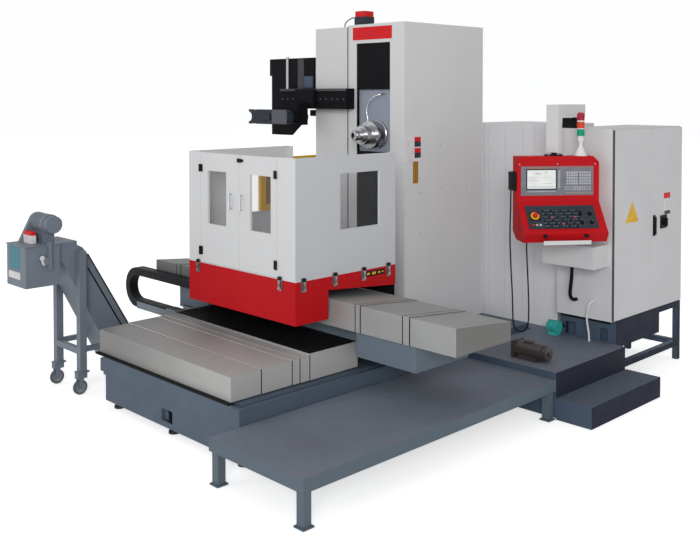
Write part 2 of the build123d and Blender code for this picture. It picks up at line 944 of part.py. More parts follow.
def enclosure_walls():
    z = (skirt_high, box_high)
    posts = block((box_left, door_left_hinge_x - door_gap), (box_front, box_front + wall), z)
    posts += block((door_right_hinge_x + door_gap, box_right), (box_front, box_front + wall), z)
    sill = block(box_x, (box_front, box_front + wall), (skirt_high, door_low - door_gap))
    left = block((box_left, box_left + wall), box_y, z)
    right = block((box_right - wall, box_right), box_y, z)
    body = left + right + posts + sill
    window_y = side_window
    window_z = (side_window_low, side_window_high)
    body -= block((box_left - 1, box_left + wall + 1), window_y, window_z)
    body -= block((box_right - wall - 1, box_right + 1), window_y, window_z)
    inner = (box_left + wall, box_right - wall)
    return_y = (box_rear - return_sheet, box_rear)
    left_return = block((inner[0], inner[0] + return_depth), return_y, z)
    right_return = block((inner[1] - return_depth, inner[1]), return_y, z)
    save("enclosure_walls", group(body, left_return, right_return))


def enclosure_skirt():
    side_outline = [
        (box_front, skirt_high),
        (box_front, skirt_low),
        (skirt_step_y, skirt_low),
        (skirt_step_y, skirt_rear_low),
        (box_rear, skirt_end_low),
        (box_rear, skirt_high),
    ]
    shell = profile_x(side_outline, box_x)
    shell -= block(
        (box_left + skirt_sheet, box_right - skirt_sheet),
        (box_front + skirt_sheet, box_rear + 1),
        (skirt_low - 1, skirt_high + 1),
    )
    floor = block(
        (box_left + skirt_sheet, box_right - skirt_sheet),
        (box_front + skirt_sheet, box_rear),
        (table_high, table_high + floor_sheet),
    )
    floor -= rod_z(table_x, table_y, (table_high - 1, table_high + floor_sheet + 1), rotary_radius + 1)
    ledge = block(
        (box_left + skirt_sheet, box_right - skirt_sheet),
        (box_front + skirt_sheet, box_front + skirt_sheet + wall),
        (skirt_high - floor_sheet, skirt_high),
    )
    notch = block(
        (box_left - 1, box_left + skirt_sheet + 1),
        (carrier_y[0] - notch_clearance, skirt_step_y + 1),
        (skirt_low - 1, skirt_notch_high),
    )
    save("enclosure_skirt", shell + floor + ledge - notch)


def side_panes():
    y = (side_window[0] - pane_lap, side_window[1] + pane_lap)
    z = (side_window_low - pane_lap, side_window_high + pane_lap)
    left = block((box_left + wall, box_left + wall + pane), y, z)
    right = block((box_right - wall - pane, box_right - wall), y, z)
    save("side_panes", group(left, right))


def door(name, x, window, hinge_side, pull_x):
    """A door leaf with its window pane, its hinges and its pull handle."""
    leaf = block(x, (box_front, box_front + wall), (door_low, door_high))
    leaf -= block(window, (box_front - 1, box_front + wall + 1), (window_low, window_high))
    hinge_x = x[0] if hinge_side < 0 else x[1]
    for z in door_hinge_z:
        leaf += rod_z(hinge_x, box_front - door_hinge_radius, z, door_hinge_radius)
        reach = (hinge_x - hinge_side * door_hinge_reach, hinge_x)
        leaf += block(sorted(reach), (box_front - door_hinge_plate, box_front), z)
    glass = block(
        (window[0] - pane_lap, window[1] + pane_lap),
        (box_front + wall, box_front + wall + pane),
        (window_low - pane_lap, window_high + pane_lap),
    )
    grip_y = box_front - handle_stand
    grip = rod_z(pull_x, grip_y, handle_z, handle_radius)
    for z in (handle_z[0] + handle_foot_inset, handle_z[1] - handle_foot_inset):
        grip += rod_y(pull_x, (grip_y, box_front), z, handle_foot_radius)
    save(name, group(leaf, glass, grip))


def doors():
    left = (door_left_hinge_x, door_seam_x - door_gap / 2)
    right = (door_seam_x + door_gap / 2, door_right_hinge_x)
    door("door_left", left, left_window, -1, handle_x[0])
    door("door_right", right, right_window, 1, handle_x[1])


def toggle_latch():
    """A latch standing on a face that looks toward -Y, its middle on the Z axis."""
    half = latch_width / 2
    z = (latch_z - latch_lower, latch_z + latch_upper)
    loop_z = (z[0] + latch_pin_rise, z[1] - latch_pin_rise)
    body = block((-half, half), (-latch_depth / 2, 0), z)
    body += rod_x((-half, half), -latch_depth / 2, loop_z[0], latch_pin_radius)
    return body + block((-latch_loop_half, latch_loop_half), (-latch_depth, 0), loop_z)


def toggle_latches():
    latches = []
    for x in latch_front_x:
        latches.append(Pos(x, box_front, 0) * toggle_latch())
    for turn, face in ((-90, box_left), (90, box_right)):
        for y in latch_side_y:
            latches.append(Pos(face, y, 0) * Rot(0, 0, turn) * toggle_latch())
    save("toggle_latches", group(*latches))


def column_shell():
    x = (column_left, column_right)
    y = (column_front, column_rear)
    main = block(x, y, (bed_top, column_high))
    main -= block(
        (x[0] + skin, x[1] - skin),
        (y[0] + skin, y[1] - skin),
        (bed_top - 1, column_high - skin),
    )
    main -= block((slot_left, slot_right), (y[0] - 1, y[0] + skin + 1), (slot_low, slot_high))
    side_y = (y[0] + side_cover_step, y[1] - side_cover_step)
    side = block((side_cover_left, x[0]), side_y, (bed_top, side_cover_high))
    side -= block(
        (side_cover_left + skin, x[0]),
        (side_y[0] + skin, side_y[1] - skin),
        (bed_top - 1, side_cover_high - skin),
    )
    casting = block(
        (-casting_half_width, casting_half_width),
        (casting_front, column_rear - skin),
        (bed_top, casting_high),
    )
    casting -= block(
        (-casting_half_width + casting_side, casting_half_width - casting_side),
        (casting_front - 1, column_rear - skin - casting_side),
        (bed_top + casting_side, casting_high - casting_side),
    )
    rails = []
    for side_x in (-y_rail_offset, y_rail_offset):
        rail = block(
            (side_x - y_rail_width / 2, side_x + y_rail_width / 2),
            (casting_front - y_rail_height, casting_front),
            (bed_top + y_rail_margin, casting_high - y_rail_margin),
        )
        rails.append(rail)
    save("column_shell", group(main + side + casting, *rails))


head_y = column_front + skin + nest_gap
mid_y = head_y + cover_sheet + cover_gap
fixed_y = mid_y + cover_sheet + cover_gap
slot_x = (slot_left - slot_lap, slot_right + slot_lap)
plate_x = (slot_left + plate_gap, slot_right - plate_gap)
way_play = 4.0
mid_top_low = column_high - skin - head_up - head_down / 2 - way_overlap - way_play
mid_top_high = column_high - skin - head_up / 2 - way_play
fixed_low = mid_top_high - head_down / 2 - way_overlap
head_cover_high = mid_top_low + head_down / 2 + way_overlap
mid_low_high = head_low - head_down / 2 - way_overlap - way_sill
mid_low_low = slot_low - slot_lap - head_up / 2
head_cover_low = mid_low_high - head_up / 2 - way_overlap


def way_covers():
    sheet_y = (head_y, head_y + cover_sheet)
    cover = block(slot_x, sheet_y, (head_cover_low, head_cover_high))
    cover -= block(plate_x, (head_y - 1, head_y + cover_sheet + 1), (head_low, head_high))
    jamb_z = (head_low, mid_top_low - head_up / 2 - way_play)
    jamb_y = (head_y + cover_sheet, plate_front)
    cover += block((plate_x[0] - cover_sheet, plate_x[0]), jamb_y, jamb_z)
    cover += block((plate_x[1], plate_x[1] + cover_sheet), jamb_y, jamb_z)
    cover += block(plate_x, jamb_y, (head_low, head_low + cover_sheet))
    cover += block(plate_x, sheet_y, (head_low, head_low + cover_sheet))
    save("way_covers_head", cover)

    layer = (mid_y, mid_y + cover_sheet)
    upper = block(slot_x, layer, (mid_top_low, mid_top_high))
    lower = block(slot_x, layer, (mid_low_low, mid_low_high))
    save("way_covers_mid", group(upper, lower))

    layer = (fixed_y, fixed_y + cover_sheet)
    save("way_cover_fixed", block(slot_x, layer, (fixed_low, column_high - skin)))


def head():
    body_y = (plate_front + head_plate_thick, casting_front - y_rail_height - head_truck_depth)
    plate = block(plate_x, (plate_front, body_y[0]), (head_low, head_high))
    body_z = (head_low + head_body_margins[0], head_high - head_body_margins[1])
    body = block((-head_body_half_width, head_body_half_width), body_y, body_z)
    cross_x = (-y_rail_offset - head_truck_half, y_rail_offset + head_truck_half)
    cross_y = (body_y[1], casting_front - y_rail_height - rail_gap)
    body += block(cross_x, cross_y, body_z)
    whole = plate + body
    bore_y = (plate_front - 1, shaft_back + bore_end_gap)
    whole -= rod_y(spindle_x, bore_y, spindle_z, shaft_radius + bore_gap)
    save("head_plate", whole)


def spindle():
    bore = shaft_radius + shaft_clearance
    housing = rod_y(spindle_x, (plate_front - flange_thick, plate_front), spindle_z, flange_radius)
    housing = chamfer(housing.edges().filter_by(GeomType.CIRCLE).group_by(Axis.Y)[0], 4)
    housing += rod_y(spindle_x, (barrel_front, plate_front - flange_thick), spindle_z, barrel_radius)
    housing += rod_y(spindle_x, (neck_front, barrel_front), spindle_z, neck_radius)
    bolts = []
    bolt_ring = (barrel_radius + neck_radius) / 2
    for i in range(spindle_bolts):
        angle = math.tau * (i + 0.5) / spindle_bolts
        x = spindle_x + bolt_ring * math.cos(angle)
        z = spindle_z + bolt_ring * math.sin(angle)
        bolts.append(rod_y(x, (barrel_front - spindle_bolt_head, barrel_front + 1), z, spindle_bolt_radius))
    for bolt in bolts:
        housing += bolt
    housing -= rod_y(spindle_x, (neck_front - 1, plate_front + 1), spindle_z, bore)
    save("spindle_housing", housing)

    shaft = rod_y(spindle_x, (nose_collar, shaft_back), spindle_z, shaft_radius)
    collar = rod_y(spindle_x, (nose_collar, neck_front - rail_gap), spindle_z, nose_radius)
    tip = rod_y(spindle_x, (nose_front, nose_collar), spindle_z, nose_tip_radius)
    ring_y = (nose_front + nose_ring[0], nose_front + nose_ring[1])
    tip += rod_y(spindle_x, ring_y, spindle_z, nose_tip_radius + nose_ring_rise)
    nose = shaft + collar + tip
    nose -= rod_y(spindle_x, (nose_front - 1, nose_front + nose_bore_depth), spindle_z, nose_bore)
    key = block(
        (spindle_x - nose_key_width / 2, spindle_x + nose_key_width / 2),
        (nose_front - 1, nose_front + nose_key_depth),
        (spindle_z - nose_radius, spindle_z + nose_radius),
    )
    save("spindle_nose", nose - key)


feed_motor_top = column_high + feed_motor_base + feed_motor_body


def feed_motor():
    x = feed_motor_x
    y = feed_motor_y
    lip = 20.0
    step = 6.0
    body_low = column_high + feed_motor_base
    base = block((x[0] - lip, x[1] + lip), (y[0] - lip, y[1] + lip), (column_high, body_low))
    body = block(x, y, (body_low, feed_motor_top))
    body = fillet(body.edges().filter_by(Axis.Z), 3 * step)
    cap_z = (feed_motor_top, feed_motor_top + feed_cap)
    cap = block((x[0] + step, x[1] - step), (y[0] + step, y[1] - step), cap_z)
    cap = fillet(cap.edges().filter_by(Axis.Z), 2.5 * step)
    cap = chamfer(cap.edges().group_by(Axis.Z)[-1], step)
    plug_z = feed_motor_top + feed_plug_drop
    plug = rod_x((x[0] - feed_plug_length, x[0]), (y[0] + y[1]) / 2, plug_z, feed_plug_radius)
    save("y_motor", group(base + body + plug, cap))


def tool_changer():
    x = changer_x
    z = changer_z
    points = [
        (changer_lower_x[0], z[0]),
        (changer_lower_x[1] - changer_chamfer[0], z[0]),
        (changer_lower_x[1], z[0] + changer_chamfer[1]),
        (changer_lower_x[1], rail_z[0]),
        (x[1], rail_z[0]),
        (x[1], z[1]),
        (x[0], z[1]),
        (x[0], changer_step_z),
        (changer_lower_x[0], changer_step_z),
    ]
    housing = profile_y(points, changer_y)
    strip_y = (changer_y[0] - rail_slot_depth, changer_y[0] + 1)
    strip = block(changer_strip_x, strip_y, (rail_z[1], z[1] + changer_strip_rise))
    beam = block(rail_x, rail_y, rail_z)
    for edge, side in ((rail_z[0], 1), (rail_z[1], -1)):
        slot = sorted((edge + side * rail_slot[0], edge + side * rail_slot[1]))
        beam -= block((rail_x[0] - 1, rail_x[1] + 1), (rail_y[0] - 1, rail_y[0] + rail_slot_depth), slot)
    mount_x = (side_cover_left + changer_mount[0], side_cover_left + changer_mount[1])
    mount = block(mount_x, (rail_y[1], column_front + side_cover_step), rail_z)
    link_z = (rail_z[0] + rail_inset, rail_z[1] - rail_inset)
    link = block((rail_x[0], x[1] - rail_inset), (rail_y[1], changer_y[0]), link_z)
    valve = block((valve_x, side_cover_left), valve_y, valve_z)
    save("atc_frame", group(housing + strip + beam + mount + link, valve))

    carriage_y = (rail_y[0] - carriage_thick, rail_y[0] - rail_gap)
    carriage_z = (rail_z[0] + carriage_inset, rail_z[1] - carriage_inset)
    carriage = block((hub_x - carriage_half, hub_x + carriage_half), carriage_y, carriage_z)
    boom_x = (hub_x - boom_half, hub_x + boom_half)
    boom = block(boom_x, (arm_y[1] + boom_half, carriage_y[0]), (hub_z + boom_z[0], hub_z + boom_z[1]))
    post = rod_y(hub_x, (arm_y[1] + rail_gap, carriage_y[0]), hub_z, hub_radius)
    gearbox = block(
        (hub_x - gearbox_half, hub_x + gearbox_half),
        (arm_y[1] + gearbox_y[0], arm_y[1] + gearbox_y[1]),
        (hub_z + gearbox_z[0], hub_z + gearbox_z[1]),
    )
    save("atc_carriage", carriage + boom + post + gearbox)

    plate_y = (arm_y[0] + arm_plate_inset, arm_y[1] - arm_plate_inset)
    cut_y = (plate_y[0] - 1, plate_y[1] + 1)
    end_x = hub_x - arm_reach
    upper_edge = [
        (hub_x + arm_nose, hub_z + hub_radius - arm_plate_inset),
        (hub_x + arm_nose / 2, hub_z + arm_half_height),
        (hub_x + arm_waist_x[1], hub_z + arm_half_height),
        (hub_x + arm_waist_x[1], hub_z + arm_waist),
        (hub_x + arm_waist_x[0], hub_z + arm_waist),
        (hub_x + arm_waist_x[0], hub_z + arm_half_height),
        (end_x + arm_jaw_length, hub_z + arm_half_height),
        (end_x + arm_nose, hub_z + arm_waist),
        (end_x + arm_nose / 2, hub_z + arm_half_height),
        (end_x, hub_z + arm_half_height),
    ]
    lower_edge = [(x, 2 * hub_z - z) for x, z in reversed(upper_edge)]
    arm = profile_y(upper_edge + lower_edge, plate_y)
    arm -= rod_y(end_x, cut_y, hub_z, jaw_radius)
    arm -= block((end_x - jaw_radius, end_x), cut_y, (hub_z - jaw_mouth, hub_z + jaw_mouth))
    arm += rod_y(hub_x, arm_y, hub_z, hub_radius + hub_collar)
    cover_x = (hub_x + grip_cover_x[0], hub_x + grip_cover_x[1])
    cover_z = (hub_z - grip_cover_half, hub_z + grip_cover_half)
    arm += block(cover_x, (arm_y[0], plate_y[0]), cover_z)
    save("atc_arm", arm)


def tool_magazine():
    box = hollow_block(magazine_x, magazine_y, magazine_z, casing_sheet)
    foot_x = (magazine_x[0] + pedestal_inset, magazine_x[1])
    foot_y = (magazine_y[0] + pedestal_inset, magazine_y[1] - pedestal_inset)
    foot = hollow_block(foot_x, foot_y, (0, magazine_z[0]), casing_sheet)
    flange = block(
        (foot_x[0] - pedestal_flange, foot_x[1]),
        (foot_y[0] - pedestal_flange, foot_y[1] + pedestal_flange),
        (0, pedestal_plate),
    )
    x = (guard_x, guard_x + guard_thick)
    y = (guard_y, magazine_y[0])
    frame = block(x, y, guard_z)
    hole = block(
        (x[0] - 1, x[1] + 1),
        (y[0] + guard_bar, y[1] - guard_bar),
        (guard_z[0] + guard_bar, guard_z[1] - guard_bar),
    )
    amber = block(
        (x[0] + (guard_thick - guard_pane) / 2, x[0] + (guard_thick + guard_pane) / 2),
        (y[0] + guard_bar, y[1] - guard_bar),
        (guard_z[0] + guard_bar, guard_z[1] - guard_bar),
    )
    save("tool_magazine", group(box + foot + flange, frame - hole, amber))


def groove_ring(place, y, z):
    """The metal cut away where two links of a straight run meet."""
    ring = block((place, place + carrier_groove), (y[0] - 1, y[1] + 1), (z[0] - 1, z[1] + 1))
    return ring - block(
        (place - 1, place + carrier_groove + 1),
        (y[0] + groove_depth, y[1] - groove_depth),
        (z[0] + groove_depth, z[1] - groove_depth),
    )


high_z = (carrier_high - carrier_height, carrier_high)
low_z = (carrier_low, carrier_low + carrier_height)
loop_inset = carrier_skin + carrier_gap


def carrier_tube(x, z):
    """A run of chain that another run slides into."""
    shell = block(x, carrier_y, z)
    place = x[0] + carrier_pitch
    while place < x[1] - carrier_groove:
        shell -= groove_ring(place, carrier_y, z)
        place += carrier_pitch
    return shell - block(
        (x[0] - 1, x[1] + 1),
        (carrier_y[0] + carrier_skin, carrier_y[1] - carrier_skin),
        (z[0] + carrier_skin, z[1] - carrier_skin),
    )


def carrier_upper():
    bracket_x = (table_x + bracket_span[0], table_x + bracket_span[1])
    bracket_z = (high_z[0] + bracket_trim[0], high_z[1] - bracket_trim[1])
    bracket = block(bracket_x, (carrier_y[1] - carrier_skin, table_front), bracket_z)
    save("carrier_upper", carrier_tube(upper_run, high_z) + bracket)


def carrier_loop():
    x = carrier_centre_x
    y = (carrier_y[0] + loop_inset, carrier_y[1] - loop_inset)
    z = (carrier_low + carrier_high) / 2
    cut_y = (y[0] - 1, y[1] + 1)
    outer = (carrier_high - carrier_low) / 2 - loop_inset
    inner = outer - carrier_height + 2 * loop_inset
    chain = rod_y(x, y, z, outer) - rod_y(x, cut_y, z, inner)
    chain &= block((x - outer - 1, x), cut_y, (z - outer - 1, z + outer + 1))
    ring = Box(2 * groove_depth + 2, cut_y[1] - cut_y[0], carrier_groove)
    ring = Pos(groove_depth - outer, 0, 0) * ring
    middle = Pos(x, (y[0] + y[1]) / 2, z)
    for i in range(bend_grooves):
        angle = (i + 0.5) * 180 / bend_grooves - 90
        chain -= middle * Rot(0, angle, 0) * ring
    for end, run_z in ((loop_high_end, high_z), (loop_low_end, low_z)):
        inner_z = (run_z[0] + loop_inset, run_z[1] - loop_inset)
        chain += block((x, end), y, inner_z)
        for i in range(run_grooves):
            chain -= groove_ring(x + first_groove + i * carrier_pitch, y, inner_z)
    save("carrier_loop", chain)


def carrier_tray():
    y = (carrier_y[0] - tray_sheet, carrier_y[1] + tray_sheet)
    tray = block(tray_x, y, (carrier_low - tray_sheet, tray_high))
    tray -= block((tray_x[0] - 1, tray_x[1] - tray_sheet), carrier_y, (carrier_low, tray_high + 1))
    run = carrier_tube((lower_run_start, tray_x[1] - tray_sheet), low_z)
    start, end = tray_bracket_span
    bracket = block(
        (start - saddle_half_length, tray_x[1] - end),
        (y[1], saddle_wing_front),
        (tray_high - carrier_bracket, saddle_low + carrier_bracket),
    )
    save("carrier_tray", group(tray + bracket, run))


def framed_deck(x, y, high):
    """A plate deck with an edge frame folded down around it."""
    body = block(x, y, (high - deck, high))
    body += block(x, y, (high - walk_frame, high - deck))
    return body - block(
        (x[0] + frame_sheet, x[1] - frame_sheet),
        (y[0] + frame_sheet, y[1] - frame_sheet),
        (high - walk_frame - 1, high - deck),
    )


def walkway_low():
    body = framed_deck(walk_x, walk_y, walk_high)
    inset = walk_leg_inset
    for x in (walk_x[0] + inset, walk_x[1] - inset):
        for y in (walk_y[0] + inset, walk_y[1] - inset):
            half = walk_leg / 2
            body += block((x - half, x + half), (y - half, y + half), (0, walk_high - deck))
            plate = foot_plate / 2
            body += block((x - plate, x + plate), (y - plate, y + plate), (0, foot_thick))
    save("walkway_low", body)


def platform_outline(inset):
    return [
        (walk_x[0] + inset, platform_y[0] + inset),
        (walk_x[1] - inset, platform_y[0] + inset),
        (walk_x[1] - inset, platform_y[1] - inset),
        (platform_bend_x - inset, platform_y[1] - inset),
        (platform_bend_x - inset, platform_rear_y - inset),
        (platform_rear_x + inset, platform_rear_y - inset),
        (platform_rear_x + inset, platform_bend_y + inset),
        (walk_x[0] + inset, platform_bend_y + inset),
    ]


def walkway_high():
    body = profile_z(platform_outline(0), (platform_lift, platform_high))
    body -= profile_z(platform_outline(frame_sheet), (platform_lift - 1, platform_high - deck))
    inset = platform_post_inset
    corners = platform_outline(inset)
    inner_corner = corners.index((platform_bend_x - inset, platform_y[1] - inset))
    half = walk_leg / 2
    for x, y in corners[:inner_corner] + corners[inner_corner + 1:]:
        body += block((x - half, x + half), (y - half, y + half), (0, platform_high - deck))
    tie_z = (platform_high - walk_frame, platform_high - walk_frame + tie_height)
    for y in tie_y:
        body += block((bed_half + rail_gap, walk_x[0]), (y - tie_height, y + tie_height), tie_z)
    save("walkway_high", body)


def entry_step():
    body = block(step_x, step_y, (0, step_high))
    body -= block(
        (step_x[0] + frame_sheet, step_x[1] - frame_sheet),
        (step_y[0] + frame_sheet, step_y[1] - frame_sheet),
        (-1, step_high - deck),
    )
    save("entry_step", body)


stand_x = (cabinet_x[0] + stand_inset, cabinet_x[1] - stand_inset)


def cabinet_stand():
    top = cabinet_z[0]
    bars = []
    for x in (stand_x[0], stand_x[1] - stand_bar):
        for y in (stand_y[0], stand_y[1] - stand_bar):
            bars.append(block((x, x + stand_bar), (y, y + stand_bar), (0, top)))
        for z in (stand_rail_z, top - stand_bar):
            bars.append(block((x, x + stand_bar), stand_y, (z, z + stand_bar)))
    for y in (stand_y[0], stand_y[1] - stand_bar):
        for z in (stand_rail_z, top - stand_bar):
            bars.append(block(stand_x, (y, y + stand_bar), (z, z + stand_bar)))
    body = bars[0]
    for bar in bars[1:]:
        body += bar
    body += hollow_block(stand_x, stand_box_y, (stand_box_z[0], top), frame_sheet)
    front_plate = block(stand_x, (stand_y[0], stand_y[0] + frame_sheet), (platform_high, top))
    cut_y = (stand_y[0] - 1, stand_y[0] + frame_sheet + 1)
    for start, end in stand_holes:
        front_plate -= block((stand_x[0] + start, stand_x[0] + end), cut_y, stand_hole_z)
    save("cabinet_stand", body + front_plate)


def cabinet():
    face_x = cabinet_x[1] - cabinet_door_thick - rail_gap
    body = block((cabinet_x[0], face_x), cabinet_y, cabinet_z)
    body -= block(
        (cabinet_x[0] + cabinet_sheet, face_x + 1),
        (cabinet_y[0] + cabinet_sheet, cabinet_y[1] - cabinet_sheet),
        (cabinet_z[0] + cabinet_sheet, cabinet_z[1] - cabinet_sheet),
    )
    rim = cabinet_rim
    frame = block((face_x - cabinet_rim_depth, face_x), cabinet_y, cabinet_z)
    for y in (
        (cabinet_y[0] + rim, cabinet_seam_y - rim),
        (cabinet_seam_y + rim, cabinet_y[1] - rim),
    ):
        cut_x = (face_x - cabinet_rim_depth - 1, face_x + 1)
        frame -= block(cut_x, y, (cabinet_z[0] + rim, cabinet_z[1] - rim))
    body += frame
    back_x = cabinet_x[0] + cabinet_sheet
    side, top = mounting_plate_inset
    body += block(
        (back_x, back_x + mounting_plate_thick),
        (cabinet_y[0] + side, cabinet_y[1] - side),
        (cabinet_z[0] + top, cabinet_z[1] - top),
    )
    terminal = hollow_block(terminal_x, (terminal_y, cabinet_y[0]), terminal_z, cabinet_sheet)
    margin = terminal_lid_margin
    terminal += block(
        (terminal_x[0] + margin, terminal_x[1] - margin),
        (terminal_y - cabinet_sheet, terminal_y),
        (terminal_z[0] + margin, terminal_z[1] - margin),
    )
    x, y, rise = arm_block
    top = cabinet_z[1] + rise
    base = block(
        (arm_base_x + x[0], arm_base_x + x[1]),
        (arm_base_y + y[0], arm_base_y + y[1]),
        (cabinet_z[1], top),
    )
    base += rod_z(arm_base_x, arm_base_y, (top, arm_low - rail_gap), arm_base_radius)
    for x, y in arm_block_knobs:
        knob_z = (top, top + arm_block_knob_rise)
        base += rod_z(arm_base_x + x, arm_base_y + y, knob_z, arm_block_knob_radius)
    save("cabinet_body", group(body, terminal, base))


def door_leaf(y):
    x = (cabinet_x[1] - cabinet_door_thick, cabinet_x[1])
    z = (cabinet_z[0] + cabinet_door_margin, cabinet_z[1] - cabinet_door_margin)
    sheet = cabinet_sheet
    hollow_z = (z[0] + sheet, z[1] - sheet)
    return block(x, y, z) - block((x[0] - 1, x[1] - sheet), (y[0] + sheet, y[1] - sheet), hollow_z)


def cabinet_doors():
    margin = cabinet_door_margin
    face = cabinet_x[1]
    front_y = (cabinet_y[0] + margin, cabinet_seam_y - door_clearance)
    save("cabinet_door_front", door_leaf(front_y))

    front, rear, end = door_pull_margins
    pull_y = (door_pull_y[0] + front, door_pull_y[1] - rear)
    pull = block((face, face + door_pull_rise), pull_y, door_pull_z)
    pull = fillet(pull.edges().filter_by(Axis.Z), rear)
    plate_z = (door_pull_z[0] - end, door_pull_z[1] + end)
    pull += block((face, face + door_pull_plate), door_pull_y, plate_z)
    half = main_switch_plate
    collar_x = (face, face + main_switch_collar)
    collar = block(
        collar_x,
        (main_switch_y - half, main_switch_y + half),
        (main_switch_z - half, main_switch_z + half),
    )
    rear_y = (cabinet_seam_y + door_clearance, cabinet_y[1] - margin)
    save("cabinet_door_rear", group(door_leaf(rear_y), pull, collar))

    dial_x = (collar_x[1] + rail_gap, collar_x[1] + rail_gap + main_switch_thick)
    radius = main_switch_radius
    dial = rod_x(dial_x, main_switch_y, main_switch_z, radius)
    dial += block(
        (dial_x[1] - 1, dial_x[1] + main_switch_grip),
        (main_switch_y - radius / 4, main_switch_y + radius / 4),
        (main_switch_z - radius, main_switch_z + radius),
    )
    save("main_switch", dial)


def rear_cabinet():
    body = hollow_block(rear_x, rear_y, (platform_high, rear_high), 2 * cabinet_sheet)
    low, high = rear_seam_margins
    half = rear_seam_width / 2
    for share in rear_seams:
        x = rear_x[0] + share * (rear_x[1] - rear_x[0])
        seam_y = (rear_y[0] - 1, rear_y[0] + rear_seam_depth)
        body -= block((x - half, x + half), seam_y, (platform_high + low, rear_high - high))
    save("rear_cabinet", body)


def floor_motor():
    """The coolant pump motor that stands on the platform, its shaft along X."""
    x = floor_motor_x
    y = floor_motor_y
    radius = floor_motor_radius
    side = radius + floor_motor_lift
    z = platform_high + side
    body = rod_x(x, y, z, radius)
    body += block((x[0] - floor_motor_flange, x[0]), (y - side, y + side), (platform_high, z + side))
    cap_end = x[1] + floor_motor_cap
    body += rod_x((x[1], cap_end), y, z, radius - 2 * floor_motor_lift)
    body += rod_x((cap_end, cap_end + floor_motor_knob), y, z, floor_motor_knob)
    hump_y = (y - floor_motor_hump_half, y + floor_motor_hump_half)
    body += block(floor_motor_hump_x, hump_y, (z, z + radius + floor_motor_hump_rise))
    body += block(floor_motor_feet_x, (y - radius, y + radius), (platform_high, z - radius / 2))
    shaft_end = x[0] - floor_motor_flange
    body += rod_x((shaft_end - floor_motor_shaft, shaft_end), y, z, floor_motor_knob)
    save("floor_motor", group(body, small_pump()))


def small_pump():
    """A finned pump in front of the cabinet stand, its neck passing under the cabinet."""
    x = small_pump_x
    y = small_pump_y
    z = small_pump_z
    body = rod_x(x, y, z, small_pump_core)
    pitch = (x[1] - x[0]) / (2 * small_pump_fins - 1)
    for i in range(small_pump_fins):
        start = x[0] + 2 * i * pitch
        body += rod_x((start, start + pitch), y, z, small_pump_radius)
    foot = small_pump_foot
    body += block((x[0] + pitch, x[1] - pitch), (y - foot, y + foot), (platform_high, z))
    neck_y = (y, stand_y[0] - 1)
    body += rod_y(x[1] - small_pump_neck, neck_y, z, small_pump_neck)
    return body


def hoses():
    x = cabinet_x[0]
    y = cabinet_y[0]
    z = terminal_z[0]
    cord(
        "drain_hose",
        [
            (x + 243, y - 153, z),
            (x + 243, y - 153, z - 79),
            (x + 231, y - 145, z - 149),
            (x + 209, y - 123, z - 219),
            (x + 191, y - 97, z - 274),
            (x + 187, y - 65, z - 310),
            (x + 195, y - 35, z - 322),
            (x + 195, y, z - 322),
        ],
        drain_hose_radius,
    )
    z = platform_high
    cord(
        "air_hose",
        [
            (x + 374, y, z + 357),
            (x + 374, y - 43, z + 357),
            (x + 361, y - 65, z + 335),
            (x + 343, y - 69, z + 275),
            (x + 331, y - 59, z + 205),
            (x + 329, y - 38, z + 125),
            (x + 333, y - 21, z + 55),
            (x + 333, y - 21, z),
        ],
        air_hose_radius,
    )


def pendant_place(shape):
    """Turns a shape drawn facing -Y about the swivel, so that the pendant faces the operator."""
    return Pos(swivel_x, swivel_y, 0) * Rot(0, 0, pendant_yaw) * shape


def support_arm():
    half = arm_width / 2
    x = (swivel_x - half, swivel_x + half)
    front = swivel_y - duct_depth / 2
    clamp_high = pendant_high + clamp_rise
    body = block(x, (front, arm_base_y + arm_base_radius), (arm_low, arm_high))
    body += block(x, (front, front + duct_depth), (clamp_high, arm_low))
    body += rod_z(swivel_x, swivel_y, (pendant_high + rail_gap, clamp_high), clamp_radius)
    save("support_arm", body)


panel_slope = math.atan2(pendant_face - pendant_lip, pendant_kink - pendant_lip_z)


def on_panel(u, z, shape):
    """Places a shape drawn standing on the XY plane onto the sloping control panel."""
    share = (pendant_kink - z) / (pendant_kink - pendant_lip_z)
    y = pendant_face + share * (pendant_lip - pendant_face)
    lean = math.degrees(panel_slope)
    return pendant_place(Pos(u, y, z) * Rot(90 - lean, 0, 0) * shape)


